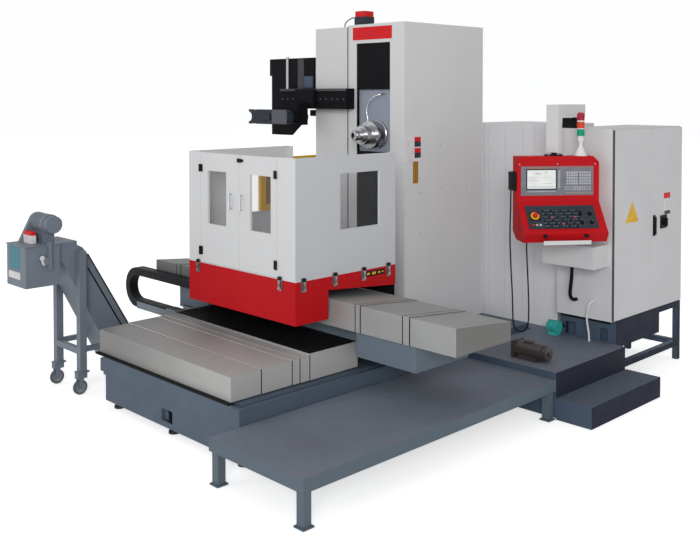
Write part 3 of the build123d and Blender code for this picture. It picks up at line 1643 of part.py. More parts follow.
def pendant():
    outline = [
        (pendant_back, pendant_low + pendant_heel[1]),
        (pendant_back, pendant_high),
        (pendant_face, pendant_high),
        (pendant_face, pendant_kink),
        (pendant_lip, pendant_lip_z),
        (pendant_chin, pendant_low),
        (pendant_face + pendant_heel[0], pendant_low),
    ]
    shell = hollow_profile_x(outline, (-pendant_half, pendant_half), pendant_skin)
    corner_fill = pendant_chamfer + pendant_skin
    shell += block(
        (pendant_half - corner_fill, pendant_half),
        (pendant_face, pendant_back),
        (pendant_high - corner_fill, pendant_high),
    )
    corner = [
        (pendant_half - pendant_chamfer, pendant_high + 1),
        (pendant_half + 1, pendant_high + 1),
        (pendant_half + 1, pendant_high - pendant_chamfer),
    ]
    shell -= profile_y(corner, (pendant_lip - 1, pendant_back + 1))
    shell -= block(display_u, (pendant_face - 1, pendant_face + panel_plate), display_z)
    shelf_z = (pendant_low - shelf_thick, pendant_low)
    shelf = block(shelf_u, shelf_y, shelf_z)
    lip_y = (shelf_y[0], shelf_y[0] + shelf_lip_thick)
    shelf += block(shelf_u, lip_y, (shelf_z[0], pendant_low + shelf_lip))
    side_y = (pendant_face + handwheel_recess, 0)
    side = block(handwheel_u, side_y, handwheel_z)
    place = pendant_place
    save("pendant_housing", group(place(shell), place(shelf), place(side)))

    screen = block(display_u, (pendant_face, pendant_face + panel_plate), display_z)
    slope_length = math.hypot(pendant_kink - pendant_lip_z, pendant_face - pendant_lip)
    u = machine_panel_u
    plate = Box(u[1] - u[0], slope_length - 2 * machine_panel_margin, panel_plate)
    middle_z = (pendant_kink + pendant_lip_z) / 2
    lower = on_panel((u[0] + u[1]) / 2, middle_z, Pos(0, 0, panel_plate / 2) * plate)
    collar = Cylinder(stop_collar_radius, stop_collar)
    collar -= Cylinder(stop_stem_radius + rail_gap, stop_collar + 1)
    lower += on_panel(stop_u, stop_z, Pos(0, 0, panel_plate + stop_collar / 2) * collar)
    save("control_panels", group(pendant_place(screen), lower))

    stem_low = panel_plate + stop_travel + rail_gap
    head_start = stem_low + stop_collar
    stem = rod_z(0, 0, (stem_low, head_start), stop_stem_radius)
    button = rod_z(0, 0, (head_start, head_start + stop_head), stop_head_radius)
    button = fillet(button.edges().filter_by(GeomType.CIRCLE).group_by(Axis.Z)[-1], stop_head / 4)
    save("e_stop", on_panel(stop_u, stop_z, stem + button))
    dial_low = panel_plate + rail_gap
    dial_high = dial_low + knob_height
    knob = rod_z(0, 0, (dial_low, dial_high), knob_radius)
    knob = chamfer(knob.edges().filter_by(GeomType.CIRCLE).group_by(Axis.Z)[-1], knob_grip_half / 2)
    half = knob_grip_half
    grip_y = (half - knob_radius, knob_radius - half)
    grip = block((-half, half), grip_y, (dial_high, dial_high + knob_grip_rise))
    save("override_knob", on_panel(knob_u, knob_z, knob + grip))
    wheel_u = (handwheel_u[0] + handwheel_u[1]) / 2
    wheel_z = (handwheel_z[0] + handwheel_z[1]) / 2
    wheel_end = side_y[0] - rail_gap
    wheel_start = wheel_end - handwheel_thick
    wheel = rod_y(wheel_u, (wheel_start, wheel_end), wheel_z, handwheel_radius)
    grip_u, grip_z = handwheel_grip
    grip_y = (wheel_start - handwheel_thick / 2, wheel_start + 1)
    wheel += rod_y(wheel_u + grip_u, grip_y, wheel_z + grip_z, handwheel_grip_radius)
    save("handwheel", pendant_place(wheel))
    save("stack_light", pendant_place(Pos(lamp_u, lamp_y, 0) * stack_light()))


def stack_light():
    cone_height = lamp_cone_high - lamp_foot_high
    cone = Cone(lamp_cone[0], lamp_cone[1], cone_height)
    lamp = rod_z(0, 0, (pendant_high, lamp_foot_high), lamp_foot_radius)
    lamp += Pos(0, 0, lamp_foot_high + cone_height / 2) * cone
    lamp += rod_z(0, 0, (lamp_cone_high, lamp_rings[0][0]), lamp_pole_radius)
    for low, high, radius in lamp_rings:
        lamp += rod_z(0, 0, (low, high), radius)
    return lamp


def pendant_cable():
    route = [
        (-382.0, -40.0, 1665.0),
        (-382.0, -40.0, 1580.0),
        (-386.0, -46.0, 1470.0),
        (-391.0, -50.0, 1350.0),
        (-392.0, -56.0, 1225.0),
        (-388.0, -60.0, 1100.0),
        (-382.0, -61.0, 975.0),
        (-375.0, -64.0, 850.0),
        (-371.0, -70.0, 725.0),
        (-371.0, -73.0, 640.0),
        (-368.0, -75.0, 565.0),
        (-352.0, -76.0, 516.0),
        (-322.0, -76.0, 489.0),
        (-284.0, -76.0, 487.0),
        (-252.0, -77.0, 510.0),
        (-240.0, -80.0, 560.0),
        (-238.0, -86.0, 640.0),
        (-241.0, -92.0, 735.0),
        (-248.0, -100.0, 860.0),
        (-257.0, -110.0, 985.0),
        (-266.0, -118.0, 1105.0),
        (-271.0, -121.0, 1195.0),
        (-271.0, -121.0, 1262.0),
    ]
    turn = math.radians(pendant_yaw)
    points = []
    for u, v, z in route:
        x = swivel_x + u * math.cos(turn) - v * math.sin(turn)
        y = swivel_y + u * math.sin(turn) + v * math.cos(turn)
        points.append((x, y, z))
    cord("mpg_cable", points, mpg_radius)


def machine_cables():
    cord(
        "spindle_hose",
        [
            (88.0, 575.0, 2462.0),
            (88.0, 533.0, 2462.0),
            (64.0, 504.0, 2452.0),
            (18.0, 494.0, 2430.0),
            (-26.0, 492.0, 2393.0),
            (-53.0, 490.0, 2344.0),
            (-58.0, 490.0, 2296.0),
            (-40.0, 490.0, 2256.0),
            (-40.0, 490.0, 2213.0),
        ],
        spindle_hose_radius,
    )
    x = feed_motor_x[0] - feed_plug_length
    y = (feed_motor_y[0] + feed_motor_y[1]) / 2
    z = feed_motor_top + feed_plug_drop
    cord(
        "y_motor_cable",
        [
            (x, y, z),
            (x - 46, y, z),
            (x - 98, y - 3, z - 14),
            (x - 144, y - 12, z - 52),
            (x - 144, y - 12, side_cover_high),
        ],
        feed_cable_radius,
    )


def conveyor():
    outline = [
        (trunk_front_y, trunk_high),
        *trunk_bend,
        trunk_top_foot,
        (trunk_end_y, trunk_top_foot[1]),
        (trunk_end_y, trunk_low_foot[1]),
        trunk_low_foot,
        (trunk_under_y, trunk_under_z),
        (trunk_front_y, trunk_under_z),
    ]
    inset = trunk_mouth_inset
    body = profile_x(outline, conveyor_x)
    body -= block(
        (conveyor_x[0] + inset, conveyor_x[1] - inset),
        (trunk_top_foot[0] + trunk_mouth_start, trunk_end_y - inset),
        (trunk_low_foot[1] + trunk_mouth_floor, trunk_top_foot[1] + 1),
    )
    body += block(conveyor_x, (head_box_y[1], trunk_front_y), (trunk_under_z, trunk_high))
    plate_x = (conveyor_x[0] - neck_plate_lip, conveyor_x[1] + neck_plate_lip)
    body += block(plate_x, (head_box_y[1], trunk_bend[0][0]), (trunk_high, head_box_z[1]))
    head = block(head_box_x, head_box_y, head_box_z)
    inset = chute_inset
    head -= block(
        (head_box_x[0] + inset, head_box_x[1] - inset),
        (head_box_y[0] + inset, head_box_y[1] - chute_rear_inset),
        (head_box_z[0] - 1, head_box_z[0] + chute_depth),
    )
    side = head_box_x[1]
    head += block((side, side + bracket_thick), bracket_y, bracket_z)
    for boss, thick in ((drive_boss, drive_boss_thick), (hub_boss, hub_boss_thick)):
        head += rod_x((side, side + thick), *boss)
    save("conveyor_body", body + head)
    save("conveyor_motor", group(gear_motor(), switch_box()))


def gear_motor():
    """The motor lying over the head of the conveyor and the guard of its chain."""
    x = gear_motor_x
    y = gear_motor_y
    z = gear_motor_z
    low = head_box_z[1] + rail_gap
    body = rod_x((x[0], x[1] - gear_motor_cap), y, z, gear_motor_radius)
    for i in range(gear_motor_fins):
        start = x[0] + gear_motor_fin_pitch * (i + 1)
        ring_x = (start, start + gear_motor_fin_gap)
        ring = rod_x(ring_x, y, z, gear_motor_radius + 1)
        body -= ring - rod_x(ring_x, y, z, gear_motor_radius - gear_motor_fin_depth)
    body += rod_x((x[1] - gear_motor_cap, x[1]), y, z, gear_motor_cap_radius)
    half = gear_motor_foot_half
    body += block(gear_motor_foot_x, (y - half, y + half), (low, z - half))
    base = ((chain_guard_y[0], low), (chain_guard_y[1], low))
    across = (base[0][0] + base[1][0]) / 2 - y
    down = low - z
    length = math.hypot(across, down)
    side_y = -down / length * chain_guard_radius
    side_z = across / length * chain_guard_radius
    guard = profile_x([*base, (y + side_y, z + side_z), (y - side_y, z - side_z)], chain_guard_x)
    return body + guard + rod_x(chain_guard_x, y, z, chain_guard_radius)


def switch_box():
    low = head_box_z[1] + rail_gap
    inset = switch_cap_inset
    cap_x = (switch_box_x[0] + inset, switch_box_x[1] - inset)
    cap_y = (switch_box_y[0] + inset, switch_box_y[1] - inset)
    box = block(switch_box_x, switch_box_y, (low, switch_box_high))
    return box + block(cap_x, cap_y, (switch_box_high, switch_cap_high))


def caster_fork(x):
    """The crown, cheeks and axle that carry a wheel under a leg."""
    high = leg_low - leg_plate
    gap = wheel_width / 2 + fork_clearance
    outer = gap + fork_sheet
    crown_y = (wheel_y - crown_half, leg_y + crown_half)
    fork = block((x - outer, x + outer), crown_y, (2 * wheel_radius + crown_clearance, high))
    cheek_y = (wheel_y - fork_half, wheel_y + fork_half)
    for cheek_x in ((x - outer, x - gap), (x + gap, x + outer)):
        fork += block(cheek_x, cheek_y, (wheel_radius - fork_drop, high))
    axle_x = (x - outer - fork_sheet, x + outer + fork_sheet)
    return fork + rod_x(axle_x, wheel_y, wheel_radius, wheel_axle_radius)


def conveyor_stand():
    half = leg_side / 2
    leg_depth = (leg_y - half, leg_y + half)
    plate_y = (leg_y - leg_plate_half, leg_y + leg_plate_half)
    cross_x = (leg_x[1] + half, leg_x[0] - half)
    body = block(cross_x, (leg_depth[0], leg_depth[0] + cross_depth), cross_z)
    for x, wall_x in zip(leg_x, reversed(conveyor_x)):
        lip = half + leg_lip
        outer = x + half if x > wall_x else x - half
        body += block((x - half, x + half), leg_depth, (leg_low, leg_high))
        body += block((x - lip, x + lip), plate_y, (leg_low - leg_plate, leg_low))
        body += caster_fork(x)
        body += block(sorted((outer, wall_x)), leg_depth, (leg_high - leg_side, leg_high))
        body += block((x - strut_half, x + strut_half), (leg_depth[1], strut_end_y), strut_z)
        body += block(sorted((x, wall_x)), (strut_end_y - 2 * strut_half, strut_end_y), strut_z)
    save("conveyor_stand", body)


def caster_wheels():
    half = wheel_width / 2
    for name, x in (("caster_wheel_near", leg_x[0]), ("caster_wheel_far", leg_x[1])):
        hub_x = (x - half - wheel_hub_rise, x + half + wheel_hub_rise)
        wheel = rod_x((x - half, x + half), wheel_y, wheel_radius, wheel_radius)
        wheel = fillet(wheel.edges().filter_by(GeomType.CIRCLE), 2 * wheel_hub_rise)
        wheel += rod_x(hub_x, wheel_y, wheel_radius, wheel_hub_radius)
        bore = wheel_axle_radius + wheel_clearance
        wheel -= rod_x((x - wheel_width, x + wheel_width), wheel_y, wheel_radius, bore)
        save(name, wheel)


bed_casting()
leveling_pads()
z_covers()
chip_pan()
saddle_beam()
x_covers()
table_base()
pallet()
enclosure_walls()
enclosure_skirt()
side_panes()
doors()
toggle_latches()
column_shell()
way_covers()
head()
spindle()
feed_motor()
tool_changer()
tool_magazine()
carrier_upper()
carrier_loop()
carrier_tray()
walkway_low()
walkway_high()
entry_step()
cabinet_stand()
cabinet()
cabinet_doors()
rear_cabinet()
floor_motor()
hoses()
support_arm()
pendant()
pendant_cable()
machine_cables()
conveyor()
conveyor_stand()
caster_wheels()
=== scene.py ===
import math

import bmesh
import bpy
from mathutils import Matrix, Vector


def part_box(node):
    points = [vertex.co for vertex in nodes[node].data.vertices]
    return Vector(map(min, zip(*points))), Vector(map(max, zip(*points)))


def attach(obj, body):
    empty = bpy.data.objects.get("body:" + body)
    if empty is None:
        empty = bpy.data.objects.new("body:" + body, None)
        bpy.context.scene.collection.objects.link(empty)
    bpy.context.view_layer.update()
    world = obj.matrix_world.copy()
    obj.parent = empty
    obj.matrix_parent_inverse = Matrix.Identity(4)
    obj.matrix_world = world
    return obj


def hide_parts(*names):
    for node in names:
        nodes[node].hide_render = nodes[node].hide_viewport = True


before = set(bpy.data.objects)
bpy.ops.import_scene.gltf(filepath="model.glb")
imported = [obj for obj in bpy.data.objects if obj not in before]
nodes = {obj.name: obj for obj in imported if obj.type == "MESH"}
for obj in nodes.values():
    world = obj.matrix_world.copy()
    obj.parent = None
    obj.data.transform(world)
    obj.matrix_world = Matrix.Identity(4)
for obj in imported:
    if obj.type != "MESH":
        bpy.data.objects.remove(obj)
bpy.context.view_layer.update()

# Lengths are in metres throughout

# Camera: the photograph's lens, place and direction
PHOTO_WIDTH = 700
PHOTO_HEIGHT = 542
LENS_PIXELS = 917.2
HORIZON_ROW = 118.92
SENSOR_WIDTH = 36.0
CLIP_END = 200.0
CAMERA_PLACE = Vector((5.584, -5.267, 2.453))
CAMERA_AZIMUTH = math.radians(45.45)
CAMERA_DOWN = math.radians(1.494)


def place_camera():
    data = bpy.data.cameras.new("camera")
    data.sensor_width = SENSOR_WIDTH
    data.lens = LENS_PIXELS / PHOTO_WIDTH * data.sensor_width
    data.shift_y = (HORIZON_ROW - PHOTO_HEIGHT / 2) / PHOTO_WIDTH
    data.clip_end = CLIP_END
    camera = bpy.data.objects.new("camera", data)
    bpy.context.collection.objects.link(camera)
    back = Vector((
        math.sin(CAMERA_AZIMUTH) * math.cos(CAMERA_DOWN),
        -math.cos(CAMERA_AZIMUTH) * math.cos(CAMERA_DOWN),
        math.sin(CAMERA_DOWN),
    ))
    camera.rotation_euler = back.to_track_quat("Z", "Y").to_euler()
    camera.location = CAMERA_PLACE
    bpy.context.scene.camera = camera


place_camera()


# Materials

def start_material(name):
    material = bpy.data.materials.new(name)
    material.use_nodes = True
    tree = material.node_tree
    return material, tree, tree.nodes["Principled BSDF"]


def add(tree, kind, **settings):
    node = tree.nodes.new(kind)
    for key, value in settings.items():
        setattr(node, key, value)
    return node


def texture_coordinates(tree, scale=(1.0, 1.0, 1.0)):
    where = add(tree, "ShaderNodeTexCoord")
    mapping = add(tree, "ShaderNodeMapping")
    mapping.inputs["Scale"].default_value = scale
    tree.links.new(where.outputs["Object"], mapping.inputs["Vector"])
    return mapping.outputs["Vector"]


def noise(tree, vector, scale, detail=3.0, roughness=0.55):
    node = add(tree, "ShaderNodeTexNoise")
    node.inputs["Scale"].default_value = scale
    node.inputs["Detail"].default_value = detail
    node.inputs["Roughness"].default_value = roughness
    tree.links.new(vector, node.inputs["Vector"])
    return node.outputs["Fac"]


def ramp(tree, value, low, high, start=0.3, end=0.7):
    """Stretches a value from between start and end to between low and high."""
    node = add(tree, "ShaderNodeMapRange")
    node.inputs["From Min"].default_value = start
    node.inputs["From Max"].default_value = end
    node.inputs["To Min"].default_value = low
    node.inputs["To Max"].default_value = high
    tree.links.new(value, node.inputs["Value"])
    return node.outputs["Result"]


def mix_colour(tree, value, low, high, start=0.3, end=0.7):
    node = add(tree, "ShaderNodeMix", data_type="RGBA")
    node.inputs["A"].default_value = (*low, 1.0)
    node.inputs["B"].default_value = (*high, 1.0)
    tree.links.new(ramp(tree, value, 0.0, 1.0, start, end), node.inputs["Factor"])
    return node.outputs["Result"]


def toned(tree, value, colour, less, more, start=0.3, end=0.7):
    """A colour that goes from a share less to a share more of itself with a value."""
    dark = tuple(min(1.0, part * (1 - less)) for part in colour)
    pale = tuple(min(1.0, part * (1 + more)) for part in colour)
    return mix_colour(tree, value, dark, pale, start, end)


def uneven_gloss(tree, shader, value, roughness, less=0.06, more=0.08):
    tree.links.new(ramp(tree, value, roughness - less, roughness + more), shader.inputs["Roughness"])


def bump(tree, shader, height, strength, distance):
    node = add(tree, "ShaderNodeBump")
    node.inputs["Strength"].default_value = strength
    node.inputs["Distance"].default_value = distance
    tree.links.new(height, node.inputs["Height"])
    tree.links.new(node.outputs["Normal"], shader.inputs["Normal"])


def painted(name, colour, roughness=0.5, spread=0.05, level=0.25):
    """Sprayed enamel: a slight orange peel, faint cloudiness and uneven gloss."""
    material, tree, shader = start_material(name)
    vector = texture_coordinates(tree)
    cloud = noise(tree, vector, scale=1.7, detail=4.0)
    tree.links.new(toned(tree, cloud, colour, spread, spread), shader.inputs["Base Color"])
    uneven_gloss(tree, shader, noise(tree, vector, scale=9.0), roughness)
    bump(tree, shader, noise(tree, vector, scale=260.0, detail=2.0), strength=0.12, distance=0.0012)
    shader.inputs["Specular IOR Level"].default_value = level
    return material


STREAKS_ALONG = 1.6
STREAKS_ACROSS = 180.0
CLOUD_SHARE = 0.55
# Object X over which the steel's colour goes from painted shade to painted highlight
SHADE_TO_HIGHLIGHT_SPAN = (-0.9, 0.7)


def brushed(name, colour, along, roughness=0.5, metallic=0.4, shade_to_highlight=(1.0, 1.0)):
    """Sheet steel with grinding marks along one axis, with painted shade to the left and a painted highlight
    to the right.
    """
    material, tree, shader = start_material(name)
    stretch = [STREAKS_ACROSS] * 3
    stretch["XYZ".index(along)] = STREAKS_ALONG
    streaks = noise(tree, texture_coordinates(tree, stretch), scale=1.0, roughness=0.6)
    cloud = noise(tree, texture_coordinates(tree), scale=1.1)
    blend = add(tree, "ShaderNodeMix", data_type="FLOAT")
    blend.inputs["Factor"].default_value = CLOUD_SHARE
    tree.links.new(streaks, blend.inputs["A"])
    tree.links.new(cloud, blend.inputs["B"])
    tone = toned(tree, blend.outputs["Result"], colour, less=0.12, more=0.12, start=0.38, end=0.62)
    split = add(tree, "ShaderNodeSeparateXYZ")
    tree.links.new(texture_coordinates(tree), split.inputs["Vector"])
    scaled = add(tree, "ShaderNodeVectorMath", operation="SCALE")
    tree.links.new(tone, scaled.inputs["Vector"])
    # Scale the colour along object X: painted shade to the left, painted highlight to the right
    tree.links.new(ramp(tree, split.outputs["X"], *shade_to_highlight, *SHADE_TO_HIGHLIGHT_SPAN), scaled.inputs["Scale"])
    tree.links.new(scaled.outputs["Vector"], shader.inputs["Base Color"])
    uneven_gloss(tree, shader, streaks, roughness, less=0.08, more=0.12)
    shader.inputs["Metallic"].default_value = metallic
    shader.inputs["Specular IOR Level"].default_value = 0.3
    bump(tree, shader, streaks, strength=0.10, distance=0.0006)
    return material


def machined(name, colour, roughness, metallic=1.0):
    """Turned or ground metal with fine rings and a clean shine."""
    material, tree, shader = start_material(name)
    fine = noise(tree, texture_coordinates(tree), scale=140.0, detail=2.0)
    tree.links.new(toned(tree, fine, colour, less=0.08, more=0.08), shader.inputs["Base Color"])
    uneven_gloss(tree, shader, fine, roughness, less=0.05)
    shader.inputs["Metallic"].default_value = metallic
    rings = noise(tree, texture_coordinates(tree, (1, 90, 1)), scale=6.0, detail=2.0)
    bump(tree, shader, rings, strength=0.06, distance=0.0005)
    return material


def moulded(name, colour, roughness=0.5, grain=0.15, level=0.25):
    """Moulded plastic or rubber with a fine grain."""
    material, tree, shader = start_material(name)
    vector = texture_coordinates(tree)
    cloud = noise(tree, vector, scale=14.0)
    tree.links.new(toned(tree, cloud, colour, less=0.12, more=0.12), shader.inputs["Base Color"])
    uneven_gloss(tree, shader, cloud, roughness)
    shader.inputs["Specular IOR Level"].default_value = level
    bump(tree, shader, noise(tree, vector, scale=420.0, detail=2.0), strength=grain, distance=0.0006)
    return material


def glazed(name, colour, alpha):
    """A thin clear or tinted pane."""
    material, tree, shader = start_material(name)
    smear = noise(tree, texture_coordinates(tree), scale=3.0)
    tree.links.new(toned(tree, smear, colour, less=0.06, more=0.04), shader.inputs["Base Color"])
    uneven_gloss(tree, shader, smear, roughness=0.05, less=0.0, more=0.05)
    shader.inputs["Alpha"].default_value = alpha
    shader.inputs["Specular IOR Level"].default_value = 0.3
    return material


LOZENGES_PER_METRE = 34.0
LOZENGE_STRETCH = (1.0, 1.7, 0.001)
LOZENGE_WEAR = 0.22


def deck_plate(name, colour, dark, spread):
    """Painted tread plate: small raised lozenges on whatever faces up."""
    material, tree, shader = start_material(name)
    vector = texture_coordinates(tree)
    cloud = noise(tree, vector, scale=1.3, detail=4.0)
    scuff = noise(tree, vector, scale=16.0, detail=5.0, roughness=0.65)
    cells = add(tree, "ShaderNodeTexVoronoi", feature="F1")
    cells.inputs["Scale"].default_value = LOZENGES_PER_METRE
    cells.inputs["Randomness"].default_value = 0.0
    turned = add(tree, "ShaderNodeMapping")
    turned.inputs["Rotation"].default_value = (0.0, 0.0, math.radians(45))
    turned.inputs["Scale"].default_value = LOZENGE_STRETCH
    tree.links.new(vector, turned.inputs["Vector"])
    tree.links.new(turned.outputs["Vector"], cells.inputs["Vector"])
    studs = ramp(tree, cells.outputs["Distance"], 1.0, 0.0, start=0.16, end=0.30)
    normal = add(tree, "ShaderNodeNewGeometry")
    split = add(tree, "ShaderNodeSeparateXYZ")
    tree.links.new(normal.outputs["Normal"], split.inputs["Vector"])
    masked = add(tree, "ShaderNodeMath", operation="MULTIPLY")
    tree.links.new(studs, masked.inputs[0])
    tree.links.new(ramp(tree, split.outputs["Z"], 0.0, 1.0, start=0.9, end=0.95), masked.inputs[1])
    soft = add(tree, "ShaderNodeMath", operation="MULTIPLY")
    soft.inputs[1].default_value = LOZENGE_WEAR
    tree.links.new(masked.outputs["Value"], soft.inputs[0])
    worn = add(tree, "ShaderNodeMix", data_type="RGBA")
    tree.links.new(toned(tree, cloud, colour, spread, spread), worn.inputs["A"])
    worn.inputs["B"].default_value = (*dark, 1.0)
    tree.links.new(soft.outputs["Value"], worn.inputs["Factor"])
    tree.links.new(worn.outputs["Result"], shader.inputs["Base Color"])
    tree.links.new(ramp(tree, scuff, 0.5, 0.68), shader.inputs["Roughness"])
    shader.inputs["Specular IOR Level"].default_value = 0.2
    bump(tree, shader, masked.outputs["Value"], strength=0.5, distance=0.0015)
    return material


# Enamels: colour, roughness, spread of the tone, gloss level
WHITE = painted("enclosure_white", (0.71, 0.715, 0.72), 0.5, 0.015)
# A darker copy of the enclosure white: painted shade for the faces that look to +X
SHADED_SIDE_WHITE = painted("enclosure_side_painted_shade", (0.575, 0.59, 0.61), 0.5, 0.02)
COLUMN = painted("column_grey", (0.69, 0.69, 0.695), 0.5, 0.02)
CABINET = painted("cabinet_grey", (0.68, 0.68, 0.69), 0.55, 0.03)
# A paler copy of the cabinet grey: painted light on the rear cabinet
LIT_REAR_CABINET = painted("rear_cabinet_painted_light", (0.77, 0.77, 0.79), 0.55, 0.03)
RED = painted("skirt_red", (0.515, 0.006, 0.010), 0.5, 0.04, 0.14)
RED_PLATE = painted("plate_red", (0.66, 0.012, 0.016), 0.5, 0.03, 0.2)
BED = painted("bed_blue_grey", (0.084, 0.112, 0.152), 0.5, 0.06, 0.2)
SADDLE = painted("saddle_blue_grey", (0.145, 0.185, 0.225), 0.5, 0.06)
CONVEYOR = painted("conveyor_blue_grey", (0.165, 0.196, 0.236), 0.5, 0.06)
TRAY = painted("tray_grey", (0.22, 0.25, 0.30), 0.5, 0.05)
HEAD = painted("head_grey", (0.30, 0.325, 0.40), 0.48, 0.05)
BLACK_PAINT = painted("black_paint", (0.008, 0.008, 0.010), 0.62, 0.15, 0.06)
DARK_PAINT = painted("dark_blue_paint", (0.022, 0.029, 0.040), 0.5, 0.2, 0.2)
ARM_GREY = painted("arm_grey", (0.105, 0.105, 0.125), 0.5, 0.2, 0.2)
BOX_BLUE = painted("box_blue_grey", (0.06, 0.09, 0.14), 0.5, 0.08)
YELLOW = painted("guard_yellow", (0.92, 0.50, 0.010), 0.5, 0.04)
PUMP = painted("pump_brown", (0.052, 0.040, 0.038), 0.35, 0.25, 0.5)
PUMP_TEAL = painted("pump_teal", (0.05, 0.46, 0.42), 0.42, 0.15)
PAN_BLACK = painted("pan_black", (0.008, 0.007, 0.008), 0.5, 0.3, 0.12)
STRIP_GREY = painted("strip_grey", (0.065, 0.065, 0.07), 0.45, 0.3)
TRAY_PALE = painted("pendant_tray", (0.70, 0.70, 0.70), 0.5, 0.03)
DECK_SIDE = painted("walkway_side", (0.105, 0.138, 0.168), 0.5, 0.05, 0.18)
STAND_BLUE = painted("stand_blue_grey", (0.074, 0.104, 0.15), 0.5, 0.06, 0.12)
# A darker copy of the stand blue: painted shade on side faces
SHADED_STEP_SIDE = painted("platform_side_painted_shade", (0.026, 0.031, 0.046), 0.55, 0.08, 0.05)

# Sheet steel: colour, direction of the marks, roughness, metal share
# COVER_X and COVER_Y get painted shade on their left and a painted highlight on their right
COVER_X = brushed("cover_steel_x", (0.37, 0.366, 0.358), "X", 0.5, 0.15, shade_to_highlight=(0.64, 1.16))
COVER_Y = brushed("cover_steel_y", (0.364, 0.372, 0.364), "Y", 0.5, 0.15, shade_to_highlight=(0.42, 1.0))
# A darker copy of the cover steel: painted shade on the covers' end faces
SHADED_COVER_END = brushed("cover_steel_end_painted_shade", (0.17, 0.168, 0.162), "Y", 0.5, 0.15)
# Much paler than the cover steel: a painted highlight along the lips at the cover seams
LIP_HIGHLIGHT = brushed("cover_lip_painted_highlight", (0.70, 0.69, 0.66), "X", 0.4)

# Machined metal: colour, roughness, metal share
STEEL = machined("ground_steel", (0.42, 0.43, 0.45), 0.32)
CHROME = machined("chrome", (0.56, 0.57, 0.59), 0.2)
LATCH = machined("latch_steel", (0.34, 0.34, 0.35), 0.38)
SPINDLE = machined("spindle_steel", (0.44, 0.44, 0.45), 0.22)
IRON = machined("machined_iron", (0.28, 0.29, 0.31), 0.45, 0.6)

# Plastic and rubber: colour, roughness, grain, gloss level
TYRE = moulded("tyre_grey", (0.085, 0.10, 0.12), 0.55)
RUBBER = moulded("black_rubber", (0.008, 0.008, 0.009), 0.65, 0.15, 0.1)
PLASTIC = moulded("black_plastic", (0.011, 0.011, 0.013), 0.55, 0.15, 0.1)
CARRIER = moulded("carrier_black", (0.011, 0.012, 0.015), 0.55, 0.15, 0.12)
HOSE_WHITE = moulded("hose_white", (0.75, 0.76, 0.77), 0.4)
SLATE = moulded("panel_slate", (0.036, 0.046, 0.060), 0.5, 0.15, 0.12)
PANEL_GREY = moulded("panel_grey", (0.20, 0.205, 0.235), 0.5)
KEY_LIGHT = moulded("key_light", (0.50, 0.51, 0.55), 0.5)
KEY_TAN = moulded("key_tan", (0.40, 0.33, 0.25), 0.5)
KEY_DARK = moulded("key_dark", (0.014, 0.018, 0.027), 0.5, 0.15, 0.1)
KEY_MARK = moulded("key_mark", (0.26, 0.28, 0.33), 0.5)
KEY_PINK = moulded("key_pink", (0.50, 0.06, 0.20), 0.45)
ORANGE_LINE = moulded("orange_line", (0.55, 0.16, 0.03), 0.5)
AMBER_PLATE = moulded("amber_plate", (0.36, 0.17, 0.02), 0.5)
STOP_RED = moulded("stop_red", (0.68, 0.010, 0.015), 0.35)
STOP_YELLOW = moulded("stop_yellow", (0.80, 0.44, 0.01), 0.4)
LAMP_RED = moulded("lamp_crimson", (0.42, 0.010, 0.040), 0.3)
LAMP_ORANGE = moulded("lamp_orange", (0.66, 0.055, 0.014), 0.3)
LAMP_GREEN = moulded("lamp_green", (0.0, 0.30, 0.18), 0.3)
LAMP_WHITE = moulded("lamp_white", (0.78, 0.78, 0.76), 0.4)
GASKET = moulded("door_gasket", (0.085, 0.085, 0.095), 0.6, 0.15, 0.1)
SCREEN = moulded("screen_glass", (0.92, 0.96, 0.92), 0.3, 0.0)
TEAL = moulded("label_teal", (0.05, 0.20, 0.26), 0.45)
LABEL = moulded("label_white", (0.72, 0.69, 0.70), 0.5)

# Panes: colour, opacity
PANE = glazed("clear_pane", (0.24, 0.25, 0.26), 0.08)
AMBER = glazed("amber_pane", (0.36, 0.15, 0.01), 0.86)

# Tread plate: colour, colour of the worn lozenges, spread of the tone
DECK = deck_plate("walkway_deck", (0.165, 0.185, 0.225), (0.10, 0.115, 0.14), 0.16)
DECK_DARK = deck_plate("step_deck", (0.10, 0.12, 0.155), (0.06, 0.075, 0.095), 0.07)


def paint(name, default, *rules):
    """Gives a CAD node its material, and others to the faces that a rule picks by centre and normal."""
    mesh = nodes[name].data
    mesh.materials.clear()
    mesh.materials.append(default)
    for _, material in rules:
        mesh.materials.append(material)
    for face in mesh.polygons:
        face.material_index = 0
        for index, (rule, _) in enumerate(rules):
            if rule(face.center, face.normal):
                face.material_index = index + 1
                break


ANYWHERE = (-math.inf, math.inf)
UP = Vector((0, 0, 1))
FRONT = Vector((0, -1, 0))
RIGHT = Vector((1, 0, 0))
SQUARE_ON = 0.9
MOSTLY = 0.7
PARTLY = 0.5


def above(low):
    return low, math.inf


def below(high):
    return -math.inf, high


def around(middle, half):
    return middle - half, middle + half


def zone(x=ANYWHERE, y=ANYWHERE, z=ANYWHERE, facing=None, least=SQUARE_ON):
    """A rule for the faces with their centre between these bounds that look along a direction."""
    def picks(centre, normal):
        if facing and normal.dot(facing) <= least:
            return False
        return all(low < part < high for part, (low, high) in zip(centre, (x, y, z)))
    return picks


PENDANT_YAW = math.radians(52.0)
SWIVEL = Vector((1.309, 1.342, 0.0))
PENDANT = Matrix.Translation(SWIVEL) @ Matrix.Rotation(PENDANT_YAW, 4, "Z")
PENDANT_BACK = PENDANT.inverted()


def pendant_zone(**bounds):
    """A zone in the pendant's own directions: x along it, y in toward it and z up."""
    rule = zone(**bounds)
    return lambda centre, normal: rule(PENDANT_BACK @ centre, normal)


